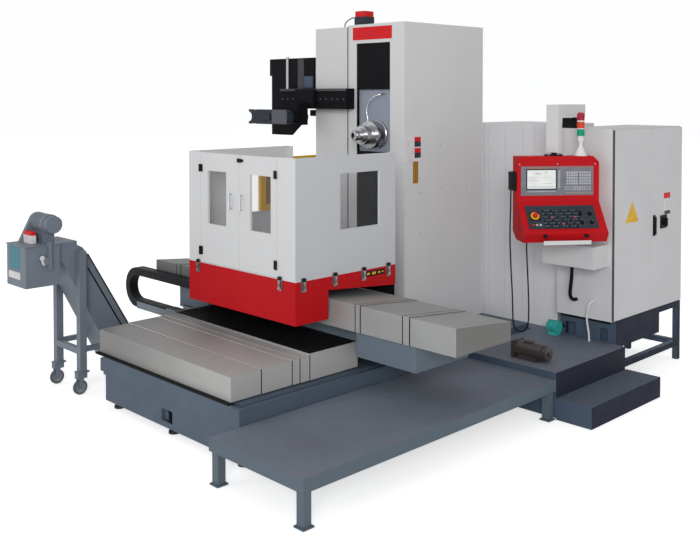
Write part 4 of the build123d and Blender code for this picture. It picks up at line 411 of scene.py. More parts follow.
box_low, box_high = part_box("enclosure_walls")
pan_low, pan_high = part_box("chip_pan")
SKIN = 0.0005
WALL = 0.020
PANE_Y = box_low.y + WALL
PANE_LOW_Z = 1.39
GRIP_Z = (1.5, 1.75)
PAN_RIM = 0.0095
PAN_FRONT_Y = -0.912
PAN_TOP_Z = 0.587
COVER_END_X = 1.785
CASTER_AXLE = (-1.610, 0.060)
CASTER_HUB_RADIUS = 0.042


def is_pane(centre, normal):
    behind = centre.y > PANE_Y + SKIN
    flush = abs(centre.y - PANE_Y) <= SKIN and normal.y < -PARTLY
    return centre.z > PANE_LOW_Z and (behind or flush)


def is_cover_end(centre, normal):
    return abs(normal.x) > SQUARE_ON and abs(centre.x) > COVER_END_X


def is_caster_hub(centre, normal):
    return math.hypot(centre.y - CASTER_AXLE[0], centre.z - CASTER_AXLE[1]) < CASTER_HUB_RADIUS


# The rear cabinet takes the paler cabinet grey, which paints light on it
PLAIN_NODES = {
    "leveling_pads": DARK_PAINT, "z_cover_front": COVER_X, "z_cover_b": COVER_X, "z_cover_c": COVER_X,
    "carrier_loop": CARRIER, "carrier_upper": CARRIER, "table_base": DARK_PAINT, "pallet": IRON,
    "side_panes": PANE, "toggle_latches": LATCH, "way_cover_fixed": BLACK_PAINT,
    "way_covers_mid": BLACK_PAINT, "way_covers_head": BLACK_PAINT, "head_plate": HEAD,
    "spindle_housing": SPINDLE, "spindle_nose": SPINDLE, "atc_carriage": BLACK_PAINT,
    "atc_arm": DARK_PAINT, "main_switch": PLASTIC, "rear_cabinet": LIT_REAR_CABINET, "e_stop": STOP_RED,
    "override_knob": PLASTIC, "handwheel": PLASTIC, "conveyor_stand": CONVEYOR,
}


def paint_nodes():
    for name, material in PLAIN_NODES.items():
        paint(name, material)
    paint("bed_casting", BED,
          (zone(z=above(0.475)), STEEL),
          (zone(x=(0.015, 0.05), y=below(-1.59), z=below(0.2)), BLACK_PAINT))
    paint("chip_pan", COVER_X, (zone(
        x=(pan_low.x + PAN_RIM, pan_high.x - PAN_RIM),
        y=above(PAN_FRONT_Y + PAN_RIM),
        z=above(PAN_TOP_Z),
    ), PAN_BLACK))
    # The cover ends that look along X take the darker steel: painted shade
    for name in ("x_end_covers", "x_mid_covers", "x_table_covers"):
        paint(name, COVER_Y, (is_cover_end, SHADED_COVER_END))
    paint("saddle_beam", SADDLE, (zone(z=above(0.7125)), STEEL))
    paint("carrier_tray", TRAY, (zone(y=above(-0.66), z=above(0.5), facing=UP), CARRIER))
    # The enclosure's faces that look to +X take the darker white: painted shade
    paint("enclosure_walls", WHITE, (zone(x=above(0), facing=RIGHT), SHADED_SIDE_WHITE))
    paint("enclosure_skirt", RED, (zone(z=around(1.012, 0.003)), IRON))
    proud = below(box_low.y - SKIN)
    for name in ("door_left", "door_right"):
        paint(name, WHITE, (is_pane, PANE), (zone(y=proud, z=GRIP_Z), CHROME), (zone(y=proud), PLASTIC))
    paint("column_shell", COLUMN, (zone(x=around(0, 0.295), y=above(0.8), facing=FRONT, least=PARTLY), IRON))
    paint("y_motor", DARK_PAINT, (zone(z=above(3.17)), RED_PLATE), (zone(z=below(3.1)), BLACK_PAINT))
    paint("atc_frame", BLACK_PAINT, (zone(x=around(-1.176, 0.018), y=below(0.5435), z=above(2.511)), STEEL))
    paint("tool_magazine", COLUMN,
          (zone(x=around(-1.314, 0.0035), y=below(1.27)), AMBER),
          (zone(x=below(-1.29), y=below(1.2695)), YELLOW))
    paint("walkway_low", DECK_SIDE, (zone(z=above(0.295), facing=UP), DECK))
    # The high walkway's faces that look neither up nor to the front take the darker stand blue: painted
    # shade
    paint("walkway_high", SHADED_STEP_SIDE,
          (zone(z=above(0.35), facing=UP), DECK),
          (zone(facing=FRONT, least=MOSTLY), STAND_BLUE))
    # The entry step's faces that look neither up nor to the front take the darker stand blue: painted shade
    paint("entry_step", SHADED_STEP_SIDE,
          (zone(z=above(0.16), facing=UP), DECK_DARK),
          (zone(facing=FRONT, least=MOSTLY), STAND_BLUE))
    # The stand's faces that look to +X take the darker stand blue: painted shade
    paint("cabinet_stand", STAND_BLUE, (zone(facing=RIGHT, least=MOSTLY), SHADED_STEP_SIDE))
    paint("cabinet_body", CABINET, (zone(z=above(2.1665)), PLASTIC))
    paint("cabinet_door_front", CABINET, (zone(y=below(1.662), facing=FRONT, least=MOSTLY), GASKET))
    paint("cabinet_door_rear", CABINET, (zone(x=above(1.6955)), PLASTIC))
    paint("floor_motor", PUMP,
          (zone(y=above(1.671)), PLASTIC),
          (zone(y=above(1.5)), PUMP_TEAL),
          (zone(x=below(1.2895)), STEEL))
    paint("support_arm", CABINET, (zone(z=below(1.9721)), PLASTIC))
    paint("control_panels", SLATE, (zone(z=above(1.6)), PANEL_GREY))
    paint("pendant_housing", RED,
          (pendant_zone(z=below(1.2625)), TRAY_PALE),
          (pendant_zone(y=below(-0.335), z=below(1.283)), TRAY_PALE),
          (pendant_zone(x=below(-0.3505)), PLASTIC))
    paint("stack_light", LAMP_WHITE,
          (zone(z=(2.242, 2.2935)), LAMP_RED),
          (zone(z=(2.176, 2.2295)), LAMP_ORANGE),
          (zone(z=(2.113, 2.1685)), LAMP_GREEN),
          (zone(z=above(2.2935)), LAMP_RED))
    paint("conveyor_body", CONVEYOR, (zone(x=above(-1.2645), y=around(-1.940, 0.021)), LABEL))
    paint("conveyor_motor", CONVEYOR,
          (zone(x=above(-1.5565), y=below(-1.9), z=(1.3255, 1.358)), RED_PLATE),
          (zone(x=above(-1.5565), y=below(-1.914), z=below(1.326)), LABEL))
    for name in ("caster_wheel_near", "caster_wheel_far"):
        paint(name, TYRE, (is_caster_hub, STEEL))


paint_nodes()


# Small fittings

SOFT_EDGE = 0.001


def finish_mesh(name, builder, material, body, bevel=0.0):
    """Turns a filled bmesh into an object that rides on a body."""
    mesh = bpy.data.meshes.new(name)
    builder.normal_update()
    builder.to_mesh(mesh)
    builder.free()
    mesh.materials.append(material)
    piece = bpy.data.objects.new(name, mesh)
    bpy.context.collection.objects.link(piece)
    if bevel:
        rounding = piece.modifiers.new("rounding", "BEVEL")
        rounding.width = bevel
        rounding.segments = 2
        rounding.limit_method = "ANGLE"
    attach(piece, body)


def add_box(builder, low, high, place=None):
    size = Vector(high) - Vector(low)
    middle = (Vector(high) + Vector(low)) / 2
    matrix = Matrix.Translation(middle) @ Matrix.Diagonal((*size, 1.0))
    if place:
        matrix = place @ matrix
    bmesh.ops.create_cube(builder, size=1.0, matrix=matrix)


def add_washer(builder, heights, inner, outer, place, segments=40):
    """A flat ring round the local Z axis of its place."""
    low, high = heights
    loops = []
    for radius, z in ((outer, low), (outer, high), (inner, high), (inner, low)):
        loop = []
        for step in range(segments):
            angle = 2 * math.pi * step / segments
            point = Vector((radius * math.cos(angle), radius * math.sin(angle), z))
            loop.append(builder.verts.new(place @ point))
        loops.append(loop)
    for first, second in zip(loops, loops[1:] + loops[:1]):
        for here in range(segments):
            there = (here + 1) % segments
            builder.faces.new((first[here], first[there], second[there], second[here]))


def add_rod(builder, start, end, radius, place=None, segments=12, end_radius=None):
    start = Vector(start)
    end = Vector(end)
    turn = (end - start).to_track_quat("Z", "Y").to_matrix().to_4x4()
    matrix = Matrix.Translation((start + end) / 2) @ turn
    if place:
        matrix = place @ matrix
    bmesh.ops.create_cone(
        builder, cap_ends=True, segments=segments, radius1=radius,
        radius2=radius if end_radius is None else end_radius,
        depth=(end - start).length, matrix=matrix,
    )


def box_piece(name, material, body, boxes, place=None, bevel=0.0):
    """One piece made of boxes, each given by its low and high corner."""
    builder = bmesh.new()
    for low, high in boxes:
        add_box(builder, low, high, place)
    finish_mesh(name, builder, material, body, bevel)


# The pendant's upright panel

FACE_Y = -0.110
KEY_RISE = 0.004
SCREEN_U = (-0.265, -0.022)
SCREEN_Z = (1.679, 1.833)
BEZEL_WIDTH = 0.009
BEZEL_RISE = 0.004
SCREEN_RISE = 0.0015
FIELD_RISE = 0.0022
LINE_RISE = 0.0008
SUNK = 0.001
SCREEN_FIELDS = (
    ((-0.200, -0.150), (1.800, 1.808)), ((-0.115, -0.095), (1.808, 1.816)),
    ((-0.255, -0.160), (1.775, 1.778)), ((-0.255, -0.190), (1.760, 1.763)),
    ((-0.255, -0.170), (1.745, 1.748)), ((-0.140, -0.045), (1.720, 1.723)),
    ((-0.255, -0.032), (1.692, 1.697)),
)
# Each grid: low corner of the first key, columns and rows, pitch, key size, rise, gap after five columns
DISPLAY_KEYS = (
    ((-0.262, 1.651), (12, 1), (0.0203, 0.0), (0.0145, 0.011), KEY_RISE, 0.0),
    ((0.001, 1.684), (1, 8), (0.0, 0.0185), (0.014, 0.0125), KEY_RISE, 0.0),
    ((0.068, 1.712), (10, 5), (0.0205, 0.0225), (0.0165, 0.0175), 0.005, 0.008),
    ((0.055, 1.666), (11, 2), (0.0208, 0.0185), (0.014, 0.011), KEY_RISE, 0.0),
)
TAN_KEYS = ((0.070, 1.638), (9, 1), (0.0235, 0.0), (0.0165, 0.013), KEY_RISE, 0.0)
DISPLAY_LINES = (((-0.274, -0.010), (1.8475, 1.8535)), ((0.055, 0.290), (1.8475, 1.8515)))


def on_face(u, z, rise, sunk=0.0):
    """A box on the upright panel between two places along it and two heights."""
    return (u[0], FACE_Y - rise, z[0]), (u[1], FACE_Y + sunk, z[1])


def key_grid(first, count, pitch, size, rise, gap):
    """The keys of one grid, in rows from its lowest."""
    keys = []
    for row in range(count[1]):
        for column in range(count[0]):
            u = first[0] + column * pitch[0] + (gap if column > 4 else 0.0)
            z = first[1] + row * pitch[1]
            keys.append(on_face((u, u + size[0]), (z, z + size[1]), rise))
    return keys


def display_details():
    """The screen, its bezel, and the keys beside it on the upright panel."""
    whole_u = (SCREEN_U[0] - BEZEL_WIDTH, SCREEN_U[1] + BEZEL_WIDTH)
    sides = (
        (whole_u, (SCREEN_Z[1], SCREEN_Z[1] + BEZEL_WIDTH)),
        (whole_u, (SCREEN_Z[0] - BEZEL_WIDTH, SCREEN_Z[0])),
        ((whole_u[0], SCREEN_U[0]), SCREEN_Z),
        ((SCREEN_U[1], whole_u[1]), SCREEN_Z),
    )
    bezel = [on_face(u, z, BEZEL_RISE, SUNK) for u, z in sides]
    box_piece("screen_bezel", SLATE, "pendant", bezel, PENDANT, SOFT_EDGE)
    screen = [on_face(SCREEN_U, SCREEN_Z, SCREEN_RISE, SUNK)]
    box_piece("screen", SCREEN, "pendant", screen, PENDANT)
    fields = [on_face(u, z, FIELD_RISE, -SUNK) for u, z in SCREEN_FIELDS]
    box_piece("screen_fields", KEY_LIGHT, "pendant", fields, PENDANT)
    keys = [key for grid in DISPLAY_KEYS for key in key_grid(*grid)]
    box_piece("display_keys", KEY_LIGHT, "pendant", keys, PENDANT, 0.0012)
    box_piece("display_tan_keys", KEY_TAN, "pendant", key_grid(*TAN_KEYS), PENDANT, SOFT_EDGE)
    stripes = [on_face(u, z, LINE_RISE, SUNK) for u, z in DISPLAY_LINES]
    box_piece("display_lines", ORANGE_LINE, "pendant", stripes, PENDANT)


# The pendant's sloping panel

KINK_Z = 1.575
LIP_Y = -0.325
LIP_Z = 1.335
SLOPE = math.atan2(FACE_Y - LIP_Y, KINK_Z - LIP_Z)
PANEL_RISE = 0.006
KEY_ROWS = (1.497, 1.474, 1.451, 1.428, 1.405, 1.383)
KEY_COLUMNS = 13
KEY_FIRST_U = -0.158
KEY_PITCH = 0.0225
KEY_GAP = 0.016
KEY_SIDES = ((-0.0088, 0.0088), (-0.0085, 0.0085))
KEY_FIELD = ((-0.005, 0.005), (0.0, 0.006))
KEY_FIELD_RISE = 0.0008
PINK_KEYS = ((2, 3), (2, 11), (4, 6))
STOP_PLACE = (-0.232, 1.462)
STOP_SQUARE = 0.042
STOP_WELL = 0.025
STOP_SQUARE_HEIGHTS = (-0.001, 0.002)
STOP_RING = (0.021, 0.036)
STOP_RING_HEIGHTS = (PANEL_RISE + 0.001, PANEL_RISE + 0.0085)
SMALL_KEY_Z = 1.397
SMALL_KEY_SIDES = ((-0.009, 0.009), (-0.008, 0.008))
SMALL_KEY_RISE = 0.006
RED_KEY_U = (-0.262,)
WHITE_KEY_U = (-0.232, -0.202)
KNOB_PLACES = ((0.234, 1.474), (0.147, 1.412), (0.231, 1.412))
FEED_KNOB_PLACE = (0.150, 1.474)
KNOB_RADII = (0.019, 0.017)
KNOB_TOP = PANEL_RISE + 0.015
# Sides along and across the panel, then the two heights over it
KNOB_GRIP = ((-0.004, 0.004), (-0.019, 0.019), 0.010, 0.022)
KNOB_POINTER = ((-0.001, 0.001), (0.004, 0.018), 0.0215, 0.0226)
DOT_HALF = 0.001
DOT_RISE = 0.0006
DIAL_RADIUS = 0.027
DIAL_DEGREES = range(-60, 241, 30)


def sloped(u, z):
    """The place on the sloping panel at u along it and height z, with its own Z standing off it."""
    share = (KINK_Z - z) / (KINK_Z - LIP_Z)
    y = FACE_Y + share * (LIP_Y - FACE_Y)
    lean = math.pi / 2 - SLOPE
    return PENDANT @ Matrix.Translation((u, y, z)) @ Matrix.Rotation(lean, 4, "X")


def on_panel(x, y, low, high):
    """A box on the sloping panel, with its two heights counted from the panel's face."""
    return (x[0], y[0], PANEL_RISE + low), (x[1], y[1], PANEL_RISE + high)


def panel_keys():
    """The key rows, with a light field on most keys and a few pink ones."""
    dark = bmesh.new()
    light = bmesh.new()
    pink = bmesh.new()
    for row, z in enumerate(KEY_ROWS):
        for column in range(KEY_COLUMNS):
            gap = KEY_GAP if column > 5 else 0.0
            place = sloped(KEY_FIRST_U + column * KEY_PITCH + gap, z)
            builder = pink if (row, column) in PINK_KEYS else dark
            add_box(builder, *on_panel(*KEY_SIDES, 0.0, KEY_RISE), place)
            if (column + 2 * row) % 3 != 0:
                add_box(light, *on_panel(*KEY_FIELD, KEY_RISE, KEY_RISE + KEY_FIELD_RISE), place)
    finish_mesh("machine_keys", dark, KEY_DARK, "pendant", SOFT_EDGE)
    finish_mesh("machine_key_marks", light, KEY_MARK, "pendant")
    finish_mesh("machine_pink_keys", pink, KEY_PINK, "pendant", SOFT_EDGE)
    for name, material, places in (
        ("panel_red_key", STOP_RED, RED_KEY_U),
        ("panel_white_keys", KEY_LIGHT, WHITE_KEY_U),
    ):
        small = bmesh.new()
        for u in places:
            add_box(small, *on_panel(*SMALL_KEY_SIDES, 0.0, SMALL_KEY_RISE), sloped(u, SMALL_KEY_Z))
        finish_mesh(name, small, material, "pendant", SOFT_EDGE)


def stop_surround():
    """The black square and the yellow ring round the stop button, both open where it moves."""
    whole = (-STOP_SQUARE, STOP_SQUARE)
    well = (-STOP_WELL, STOP_WELL)
    left = (-STOP_SQUARE, -STOP_WELL)
    right = (STOP_WELL, STOP_SQUARE)
    sides = ((whole, left), (whole, right), (left, well), (right, well))
    square = [on_panel(x, y, *STOP_SQUARE_HEIGHTS) for x, y in sides]
    box_piece("stop_square", PLASTIC, "pendant", square, sloped(*STOP_PLACE))
    ring = bmesh.new()
    add_washer(ring, STOP_RING_HEIGHTS, *STOP_RING, sloped(*STOP_PLACE))
    finish_mesh("stop_ring", ring, STOP_YELLOW, "pendant", SOFT_EDGE)


def panel_knobs():
    """The fixed selector knobs and the dots of their dials and of the feed knob's."""
    knobs = bmesh.new()
    marks = bmesh.new()
    for u, z in KNOB_PLACES:
        place = sloped(u, z)
        add_rod(knobs, (0, 0, PANEL_RISE), (0, 0, KNOB_TOP), KNOB_RADII[0], place, 32, KNOB_RADII[1])
        add_box(knobs, *on_panel(*KNOB_GRIP), place)
        add_box(marks, *on_panel(*KNOB_POINTER), place)
    for u, z in (FEED_KNOB_PLACE, *KNOB_PLACES):
        place = sloped(u, z)
        for degrees in DIAL_DEGREES:
            x = DIAL_RADIUS * math.cos(math.radians(degrees))
            y = DIAL_RADIUS * math.sin(math.radians(degrees))
            sides = ((x - DOT_HALF, x + DOT_HALF), (y - DOT_HALF, y + DOT_HALF))
            add_box(marks, *on_panel(*sides, 0.0, DOT_RISE), place)
    finish_mesh("selector_knobs", knobs, PLASTIC, "pendant", SOFT_EDGE)
    finish_mesh("dial_marks", marks, KEY_LIGHT, "pendant")


SCREW_U = (-0.330, -0.008, 0.315)
SCREW_Z = 1.882
SCREW_RADIUS = 0.005
SCREW_RISE = 0.003
CLAMP_U = (-0.085, -0.045, 0.0, 0.04)
CLAMP_Y = -0.05
CLAMP_Z = (1.946, 1.960)
CLAMP_RADIUS = 0.016
TRAY_KNOB_U = (-0.178, 0.163)
TRAY_KNOB_Y = (-0.295, -0.352)
TRAY_KNOB_Z = 1.319
TRAY_KNOB_RADII = (0.017, 0.014)
TRIM_EDGE = 0.002


def pendant_trim():
    """The pendant's front screws, the clamps on its top and the two knobs over its tray."""
    screws = bmesh.new()
    for u in SCREW_U:
        ends = [(u, y, SCREW_Z) for y in (FACE_Y + SUNK, FACE_Y - SCREW_RISE)]
        add_rod(screws, *ends, SCREW_RADIUS, PENDANT)
    finish_mesh("pendant_screws", screws, STEEL, "pendant")
    clamps = bmesh.new()
    for u in CLAMP_U:
        ends = [(u, CLAMP_Y, z) for z in CLAMP_Z]
        add_rod(clamps, *ends, CLAMP_RADIUS, PENDANT, 20)
    finish_mesh("pendant_clamps", clamps, PLASTIC, "pendant", TRIM_EDGE)
    knobs = bmesh.new()
    for u in TRAY_KNOB_U:
        ends = [(u, y, TRAY_KNOB_Z) for y in TRAY_KNOB_Y]
        add_rod(knobs, *ends, TRAY_KNOB_RADII[0], PENDANT, 24, TRAY_KNOB_RADII[1])
    finish_mesh("tray_knobs", knobs, PLASTIC, "pendant", TRIM_EDGE)


# Seams of the telescopic covers

SEAM_WIDTH = 0.008
SEAM_ROOT = 0.0004
SEAM_RISE = 0.0004
X_SEAM_RISE = 0.001
X_SEAM_PROUD = 0.002
NEST = 0.0036
Z_LEFT = -0.991
Z_RIGHT = 0.747
Z_LOW = 0.413
Z_HIGH_LEFT = 0.606
Z_HIGH_RIGHT = 0.594
X_FRONT = -0.560
X_BACK = 0.066
X_LOW = 0.718
X_HIGH_FRONT = 0.919
X_HIGH_BACK = 0.861
Z_SEAMS = (
    ("saddle", NEST, -1.002), ("saddle", 0.0, -0.912),
    ("cover_c", 2 * NEST, -1.072), ("cover_b", 3 * NEST, -1.346),
)
X_SEAMS = (
    ("table", -X_SEAM_PROUD, (0.862, 0.914, -0.990, -1.042)),
    ("mid_covers", NEST - X_SEAM_PROUD, (1.325, 1.390, -1.389, -1.454)),
)


def strip_along(builder, points, rise, direction):
    """A thin strip that follows a cover's outline, standing just proud of it."""
    step = Vector(direction) * SEAM_WIDTH / 2
    for start, end in zip(points, points[1:]):
        start = Vector(start)
        end = Vector(end)
        out = (end - start).cross(Vector(direction)).normalized()
        corners = []
        for base in (start, end):
            for side in (-1, 1):
                for lift in (-SEAM_ROOT, rise):
                    corners.append(builder.verts.new(base + side * step + out * lift))
        a, b, c, d, e, f, g, h = corners
        for loop in ((b, d, h, f), (a, e, g, c), (a, b, f, e), (c, g, h, d), (a, c, d, b), (e, f, h, g)):
            builder.faces.new(loop)
    bmesh.ops.recalc_face_normals(builder, faces=builder.faces)


def z_outline(inset, y):
    """The section of a bed cover, from its left foot over the top to its right foot."""
    return [
        (Z_LEFT + inset, y, Z_LOW),
        (Z_LEFT + inset, y, Z_HIGH_LEFT - inset),
        (Z_RIGHT - inset, y, Z_HIGH_RIGHT - inset),
        (Z_RIGHT - inset, y, Z_LOW),
    ]


def x_outline(inset, x):
    """The section of a cross cover, from its rear foot over the top to its front foot."""
    return [
        (x, X_BACK - inset, X_LOW),
        (x, X_BACK - inset, X_HIGH_BACK - inset),
        (x, X_FRONT + inset, X_HIGH_FRONT - inset),
        (x, X_FRONT + inset, X_LOW),
    ]


def cover_seams():
    """Dark wiper edges, and folded lips in a bright colour that paints the highlight along them, where the
    cover lengths meet.
    """
    for body, inset, y in Z_SEAMS:
        millimetres = -int(y * 1000)
        outline = z_outline(inset, y + SEAM_WIDTH / 2)
        lip = bmesh.new()
        strip_along(lip, outline[1:3], SEAM_RISE, (0, 1, 0))
        finish_mesh(f"lip_{body}_{millimetres}", lip, LIP_HIGHLIGHT, body)
        wiper = bmesh.new()
        strip_along(wiper, outline[2:4], SEAM_RISE, (0, 1, 0))
        strip_along(wiper, outline[0:2], SEAM_RISE, (0, 1, 0))
        finish_mesh(f"wiper_{body}_{millimetres}", wiper, RUBBER, body)
    for body, inset, places in X_SEAMS:
        for x in places:
            edge = x - math.copysign(SEAM_WIDTH / 2, x)
            wiper = bmesh.new()
            strip_along(wiper, x_outline(inset, edge), X_SEAM_RISE, (-1, 0, 0))
            finish_mesh(f"wiper_{body}_{int(x * 1000)}", wiper, RUBBER, body)


# Plates, fields and other pieces made of a few boxes

COLUMN_SIDE = 0.342
CABINET_SIDE = 1.6951
SKIRT_SIDE = box_high.x
CONVEYOR_FRONT = (-2.0645, -2.0625)
FIELD_PATCHES = ((-0.160, 0.016), (-0.098, 0.020), (-0.040, 0.014), (0.000, 0.010))
FIELD_MIDDLE_Z = 1.055
INDICATOR_Y = (0.668, 0.748)
INDICATOR_Z = (2.052, 1.956)
INDICATOR_FACE = COLUMN_SIDE + 0.0075
INDICATOR_RED_HEIGHT = 0.038
INDICATOR_GREY_HEIGHT = 0.046
FIELD_PATCH_RISE = 0.0022
# Low and high corner of each block of the latch, with Y counted from the front of the enclosure
TOP_LATCH = (
    ((-0.075, -0.012, 1.932), (-0.030, 0.0, 1.962)),
    ((-0.020, -0.012, 1.938), (-0.005, 0.0, 1.958)),
)
# Low and high corner of each fold
CONVEYOR_FOLDS = (
    ((-1.2905, -2.063, 1.076), (-1.2885, -1.7755, 1.080)),
    ((-1.640, -2.075, 1.258), (-1.275, -1.765, 1.2605)),
)

# Each piece: name, material, body, rounding, and the low and high corner of its box
PLATES = (
    ("changer_strip", STRIP_GREY, "machine", 0.0, (-1.028, 0.5415, 2.515), (-0.942, 0.5445, 2.795)),
    ("changer_grip", ARM_GREY, "changer_arm", SOFT_EDGE, (-0.944, 0.148, 2.190), (-0.735, 0.1505, 2.318)),
    ("changer_box", BOX_BLUE, "machine", 0.003, (-0.915, 0.520, 2.520), (-0.806, 0.5435, 2.630)),
    ("changer_rail_edge", STRIP_GREY, "machine", 0.0, (-1.172, 0.4385, 2.490), (-0.265, 0.4405, 2.5115)),
    # A black strip under the front cover paints the shadow in the gap below it
    ("front_cover_painted_shadow", RUBBER, "machine", 0.0,
     (Z_LEFT + 0.002, -1.6345, Z_LOW - 0.0115), (Z_RIGHT - 0.002, -1.598, Z_LOW + 0.0005)),
    ("bed_side_box", BED, "machine", 0.004, (-0.975, -1.600, 0.262), (-0.865, -1.500, 0.365)),
    ("column_plate", RED_PLATE, "machine", SOFT_EDGE, (-0.280, 0.5405, 2.942), (0.197, 0.5432, 3.055)),
    ("indicator_panel", LABEL, "machine", SOFT_EDGE,
     (COLUMN_SIDE - 0.001, 0.557, 1.879), (COLUMN_SIDE + 0.006, 0.759, 2.103)),
    ("indicator_lower", AMBER_PLATE, "machine", 0.0,
     (COLUMN_SIDE - 0.001, 0.654, 1.690), (COLUMN_SIDE + 0.003, 0.720, 1.879)),
    ("column_seam", SLATE, "machine", 0.0, (-0.3465, 0.5385, 1.20), (-0.3395, 0.5415, 3.068)),
    ("skirt_field", PLASTIC, "table", 0.0,
     (SKIRT_SIDE - 0.001, -0.190, 1.034), (SKIRT_SIDE + 0.0015, 0.022, 1.076)),
    # A black sheet behind the table paints the shade under the skirt
    ("rear_painted_shade_sheet", RUBBER, "table", 0.0, (0.080, 0.144, 0.842), (SKIRT_SIDE - 0.007, 0.149, 0.934)),
    ("conveyor_label_teal", TEAL, "machine", 0.0,
     (-1.575, CONVEYOR_FRONT[0], 1.065), (-1.395, CONVEYOR_FRONT[1], 1.245)),
    ("conveyor_label_white", LABEL, "machine", 0.0,
     (-1.590, CONVEYOR_FRONT[0], 0.990), (-1.385, CONVEYOR_FRONT[1], 1.045)),
    ("cabinet_field_red", RED_PLATE, "rear_cabinet_door", 0.0,
     (CABINET_SIDE - 0.001, 2.529, 1.521), (CABINET_SIDE + 0.0015, 2.646, 1.571)),
    ("cabinet_field_white", LABEL, "rear_cabinet_door", 0.0,
     (CABINET_SIDE - 0.001, 2.530, 1.410), (CABINET_SIDE + 0.0015, 2.638, 1.521)),
    ("cabinet_field_grey", GASKET, "rear_cabinet_door", 0.0,
     (CABINET_SIDE - 0.001, 2.542, 1.376), (CABINET_SIDE + 0.0015, 2.649, 1.408)),
    # A black strip on the stand's front face paints the shadow under the cabinet's overhang
    ("cabinet_base_painted_shadow", PLASTIC, "machine", 0.0, (1.160, 1.7025, 0.514), (1.640, 1.7055, 0.546)),
)


def plates():
    """The bare plates and fields of colour, and the strips and boxes of a single block."""
    for name, material, body, bevel, low, high in PLATES:
        box_piece(name, material, body, [(low, high)], bevel=bevel)
    patches = []
    for y, half in FIELD_PATCHES:
        patches.append((
            (SKIRT_SIDE, y - half, FIELD_MIDDLE_Z - half / 2),
            (SKIRT_SIDE + FIELD_PATCH_RISE, y + half, FIELD_MIDDLE_Z + half / 2),
        ))
    box_piece("skirt_field_patches", STOP_YELLOW, "table", patches)
    red = []
    grey = []
    near, far = INDICATOR_Y
    for z in INDICATOR_Z:
        red.append(((COLUMN_SIDE, near, z), (INDICATOR_FACE, far, z + INDICATOR_RED_HEIGHT)))
        grey.append(((COLUMN_SIDE, near, z - INDICATOR_GREY_HEIGHT), (INDICATOR_FACE, far, z)))
    box_piece("indicator_red", RED_PLATE, "machine", red)
    box_piece("indicator_grey", SLATE, "machine", grey)
    front = Matrix.Translation((0, box_low.y, 0))
    box_piece("door_top_latch", PLASTIC, "right_door", TOP_LATCH, front, TRIM_EDGE)
    box_piece("conveyor_folds", CONVEYOR, "machine", CONVEYOR_FOLDS)


# Screws, latches and edges

SIDE_SCREWS = (
    (0.75, 1.60), (1.02, 2.0), (1.02, 1.62), (0.75, 1.25),
    (1.02, 1.22), (1.40, 1.62), (1.40, 2.35), (1.40, 1.10),
)
SIDE_SCREW_RADIUS = 0.006
FRONT_SCREWS = ((-0.70, 2.10), (-0.42, 1.30), (-0.70, 1.30))
FRONT_SCREW_Y = (0.553, 0.549)
FRONT_SCREW_RADIUS = 0.007
LATCH_FRONT_X = (-0.592, 0.435)
LATCH_SIDE_Y = (-0.842, -0.526, -0.218, 0.061)
# Low and high corner of a latch's cap, of the slots beside its clip and of the one in it
LATCH_BOXES = (
    ((-0.014, -0.0215, 1.092), (0.014, -0.001, 1.1165)),
    ((-0.0165, -0.0108, 1.030), (-0.010, -0.009, 1.084)),
    ((0.010, -0.0108, 1.030), (0.0165, -0.009, 1.084)),
    ((-0.004, -0.0205, 1.042), (0.004, -0.019, 1.066)),
)
RAIL_BOLTS = 12
RAIL_BOLT_FIRST_X = -1.13
RAIL_BOLT_PITCH = 0.076
RAIL_BOLT_Y = (0.4405, 0.4345)
RAIL_BOLT_Z = 2.416
RAIL_BOLT_RADIUS = 0.009
TRUNK_SIDES = (-1.3235, -1.6465)
TRUNK_LIFTS = (0.0, -0.115)
TRUNK_TOP = (-1.512, 1.138)
TRUNK_FOOT = (-1.087, 0.410)
EDGE_HALF = (0.0015, 0.006)
TRIANGLE = ((1.842, 1.363), (2.066, 1.363), (1.954, 1.540))
TRIANGLE_RISE = 0.0015


def screws_and_bolts():
    """The screws on the column's sheets and the bolts along the changer's rail."""
    screws = bmesh.new()
    for y, z in SIDE_SCREWS:
        add_rod(screws, (COLUMN_SIDE - SUNK, y, z), (COLUMN_SIDE + SCREW_RISE, y, z), SIDE_SCREW_RADIUS)
    for x, z in FRONT_SCREWS:
        add_rod(screws, *[(x, y, z) for y in FRONT_SCREW_Y], FRONT_SCREW_RADIUS)
    finish_mesh("column_screws", screws, STEEL, "machine")
    bolts = bmesh.new()
    for i in range(RAIL_BOLTS):
        x = RAIL_BOLT_FIRST_X + i * RAIL_BOLT_PITCH
        add_rod(bolts, *[(x, y, RAIL_BOLT_Z) for y in RAIL_BOLT_Y], RAIL_BOLT_RADIUS)
    finish_mesh("changer_rail_bolts", bolts, GASKET, "machine")


def latch_details():
    """The dark caps and slots of the toggle latches, each drawn on a face that looks toward -Y."""
    places = [Matrix.Translation((x, box_low.y, 0)) for x in LATCH_FRONT_X]
    for turn, face in ((-90, box_low.x), (90, box_high.x)):
        spin = Matrix.Rotation(math.radians(turn), 4, "Z")
        for y in LATCH_SIDE_Y:
            places.append(Matrix.Translation((face, y, 0)) @ spin)
    dark = bmesh.new()
    for place in places:
        for low, high in LATCH_BOXES:
            add_box(dark, low, high, place)
    finish_mesh("latch_caps", dark, PLASTIC, "table", SOFT_EDGE)


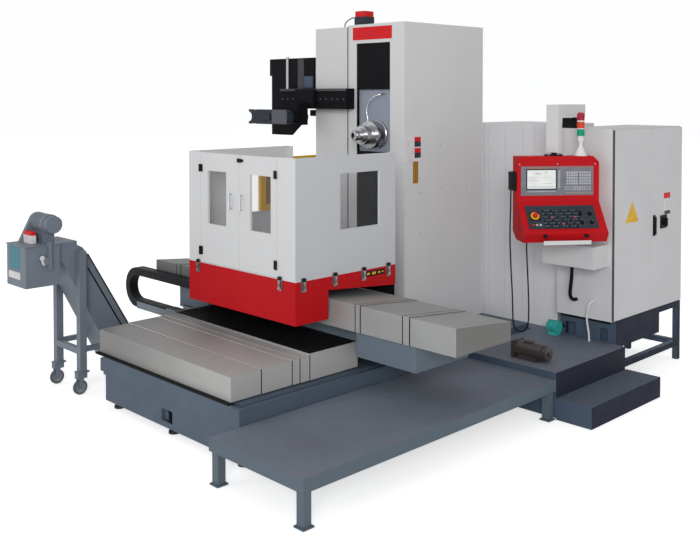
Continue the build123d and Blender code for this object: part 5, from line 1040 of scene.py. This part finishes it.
def conveyor_edges():
    """The rubber edges along both sides of the conveyor's inclined trunk."""
    edges = bmesh.new()
    for x in TRUNK_SIDES:
        for lift in TRUNK_LIFTS:
            start = Vector((x, TRUNK_TOP[0], TRUNK_TOP[1] + lift))
            end = Vector((x, TRUNK_FOOT[0], TRUNK_FOOT[1] + lift))
            direction = (end - start).normalized()
            out = direction.cross(RIGHT).normalized()
            place = Matrix((RIGHT, out, direction)).transposed().to_4x4()
            place.translation = start
            low = (-EDGE_HALF[0], -EDGE_HALF[1], 0.0)
            add_box(edges, low, (*EDGE_HALF, (end - start).length), place)
    finish_mesh("conveyor_edge_rubber", edges, RUBBER, "machine")


def cabinet_triangle():
    """The bare yellow triangle on the cabinet's front door."""
    triangle = bmesh.new()
    front = [triangle.verts.new((CABINET_SIDE + TRIANGLE_RISE, y, z)) for y, z in TRIANGLE]
    rear = [triangle.verts.new((CABINET_SIDE, y, z)) for y, z in TRIANGLE]
    triangle.faces.new(front)
    triangle.faces.new(rear[::-1])
    for i in range(3):
        j = (i + 1) % 3
        triangle.faces.new((rear[i], rear[j], front[j], front[i]))
    finish_mesh("cabinet_triangle", triangle, STOP_YELLOW, "front_cabinet_door")


display_details()
panel_keys()
stop_surround()
panel_knobs()
pendant_trim()
cover_seams()
plates()
screws_and_bolts()
latch_details()
conveyor_edges()
cabinet_triangle()


# Hoses and cables: the routes of the CAD tubes, in metres

CORD_FACETS = 5
CORD_STEPS = 8


def route_curve(name, points, radius, material, body, node):
    """A round cord along a route, riding on a body in place of its CAD node."""
    curve = bpy.data.curves.new(name, "CURVE")
    curve.dimensions = "3D"
    curve.bevel_depth = radius
    curve.bevel_resolution = CORD_FACETS
    curve.resolution_u = CORD_STEPS
    curve.use_fill_caps = True
    spline = curve.splines.new("NURBS")
    spline.points.add(len(points) - 1)
    for target, point in zip(spline.points, points):
        target.co = (*point, 1.0)
    spline.order_u = 3
    spline.use_endpoint_u = True
    curve.materials.append(material)
    piece = bpy.data.objects.new(name, curve)
    bpy.context.collection.objects.link(piece)
    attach(piece, body)
    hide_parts(node)
    return piece


DRAIN_ROUTE = [
    (1.390, 1.500, 1.014), (1.390, 1.500, 0.935), (1.378, 1.508, 0.865), (1.356, 1.530, 0.795),
    (1.338, 1.556, 0.740), (1.334, 1.588, 0.704), (1.342, 1.618, 0.692), (1.342, 1.653, 0.692),
]
AIR_ROUTE = [
    (1.521, 1.653, 0.712), (1.521, 1.610, 0.712), (1.508, 1.588, 0.690), (1.490, 1.584, 0.630),
    (1.478, 1.594, 0.560), (1.476, 1.615, 0.480), (1.480, 1.632, 0.410), (1.480, 1.632, 0.355),
]
SPINDLE_ROUTE = [
    (0.088, 0.575, 2.462), (0.088, 0.533, 2.462), (0.064, 0.504, 2.452), (0.018, 0.494, 2.430),
    (-0.026, 0.492, 2.393), (-0.053, 0.490, 2.344), (-0.058, 0.490, 2.296), (-0.040, 0.490, 2.256),
    (-0.040, 0.490, 2.213),
]
MOTOR_ROUTE = [
    (-0.464, 0.770, 3.172), (-0.510, 0.770, 3.172), (-0.562, 0.767, 3.158), (-0.608, 0.758, 3.120),
    (-0.608, 0.758, 3.068),
]
PENDANT_ROUTE = [
    (-0.382, -0.040, 1.665), (-0.382, -0.040, 1.580), (-0.386, -0.046, 1.470), (-0.391, -0.050, 1.350),
    (-0.392, -0.056, 1.225), (-0.388, -0.060, 1.100), (-0.382, -0.061, 0.975), (-0.375, -0.064, 0.850),
    (-0.371, -0.070, 0.725), (-0.371, -0.073, 0.640), (-0.368, -0.075, 0.565), (-0.352, -0.076, 0.516),
    (-0.322, -0.076, 0.489), (-0.284, -0.076, 0.487), (-0.252, -0.077, 0.510), (-0.240, -0.080, 0.560),
    (-0.238, -0.086, 0.640), (-0.241, -0.092, 0.735), (-0.248, -0.100, 0.860), (-0.257, -0.110, 0.985),
    (-0.266, -0.118, 1.105), (-0.271, -0.121, 1.195), (-0.271, -0.121, 1.262),
]


def cords():
    drain = route_curve("drain_hose_run", DRAIN_ROUTE, 0.015, RUBBER, "machine", "drain_hose")
    air = route_curve("air_hose_run", AIR_ROUTE, 0.009, HOSE_WHITE, "machine", "air_hose")
    hose = route_curve("spindle_hose_run", SPINDLE_ROUTE, 0.007, CHROME, "head", "spindle_hose")
    motor = route_curve("y_motor_cable_run", MOTOR_ROUTE, 0.005, RUBBER, "machine", "y_motor_cable")
    route = [tuple(PENDANT @ Vector(point)) for point in PENDANT_ROUTE]
    cable = route_curve("mpg_cable_run", route, 0.006, RUBBER, "pendant", "mpg_cable")


cords()


# Floor and light
FLOOR_REACH = 45.0
FLOOR_TONES = ((0.90, 0.90, 0.90), (0.92, 0.92, 0.92))
FLOOR_ROUGHNESS = 0.8
FLOOR_LIFT = 0.60
WORLD_COLOUR = (0.985, 0.99, 1.0, 1.0)
WORLD_LIGHT = 0.46


def seen_directly(tree):
    """One for rays that show the backdrop itself, none for the light it gives."""
    path = add(tree, "ShaderNodeLightPath")
    total = path.outputs["Is Camera Ray"]
    for ray in ("Is Glossy Ray", "Is Transmission Ray"):
        join = add(tree, "ShaderNodeMath", operation="MAXIMUM")
        tree.links.new(total, join.inputs[0])
        tree.links.new(path.outputs[ray], join.inputs[1])
        total = join.outputs["Value"]
    return total


def studio():
    """The pale floor and the plain world light."""
    mesh = bpy.data.meshes.new("floor")
    signs = ((-1, -1), (1, -1), (1, 1), (-1, 1))
    corners = [(x * FLOOR_REACH, y * FLOOR_REACH, 0) for x, y in signs]
    mesh.from_pydata(corners, [], [(0, 1, 2, 3)])
    floor = bpy.data.objects.new("floor", mesh)
    bpy.context.collection.objects.link(floor)
    material, tree, shader = start_material("studio_floor")
    tone = mix_colour(tree, noise(tree, texture_coordinates(tree), scale=0.4), *FLOOR_TONES)
    tree.links.new(tone, shader.inputs["Base Color"])
    shader.inputs["Roughness"].default_value = FLOOR_ROUGHNESS
    shader.inputs["Emission Color"].default_value = (1.0, 1.0, 1.0, 1.0)
    lift = ramp(tree, seen_directly(tree), 0.0, FLOOR_LIFT, start=0.0, end=1.0)
    tree.links.new(lift, shader.inputs["Emission Strength"])
    mesh.materials.append(material)
    world = bpy.data.worlds.new("studio")
    world.use_nodes = True
    tree = world.node_tree
    background = tree.nodes["Background"]
    background.inputs["Color"].default_value = WORLD_COLOUR
    strength = ramp(tree, seen_directly(tree), WORLD_LIGHT, 1.0, start=0.0, end=1.0)
    tree.links.new(strength, background.inputs["Strength"])
    bpy.context.scene.world = world


def area_light(name, place, target, size, power):
    """A soft rectangular lamp that looks at a target."""
    data = bpy.data.lights.new(name, "AREA")
    data.shape = "RECTANGLE"
    data.size = size[0]
    data.size_y = size[1]
    data.energy = power
    lamp = bpy.data.objects.new(name, data)
    lamp.location = place
    lamp.rotation_euler = (Vector(place) - Vector(target)).to_track_quat("Z", "Y").to_euler()
    bpy.context.collection.objects.link(lamp)


studio()
area_light("key", place=(-8.0, -18.0, 8.0), target=(0, 0, 1.2), size=(9.0, 8.0), power=420)
area_light("camera_fill", place=(11.0, -12.0, 6.0), target=(0.3, 0.6, 1.3), size=(6.0, 5.0), power=1050)
bpy.context.scene.view_settings.view_transform = "Standard"
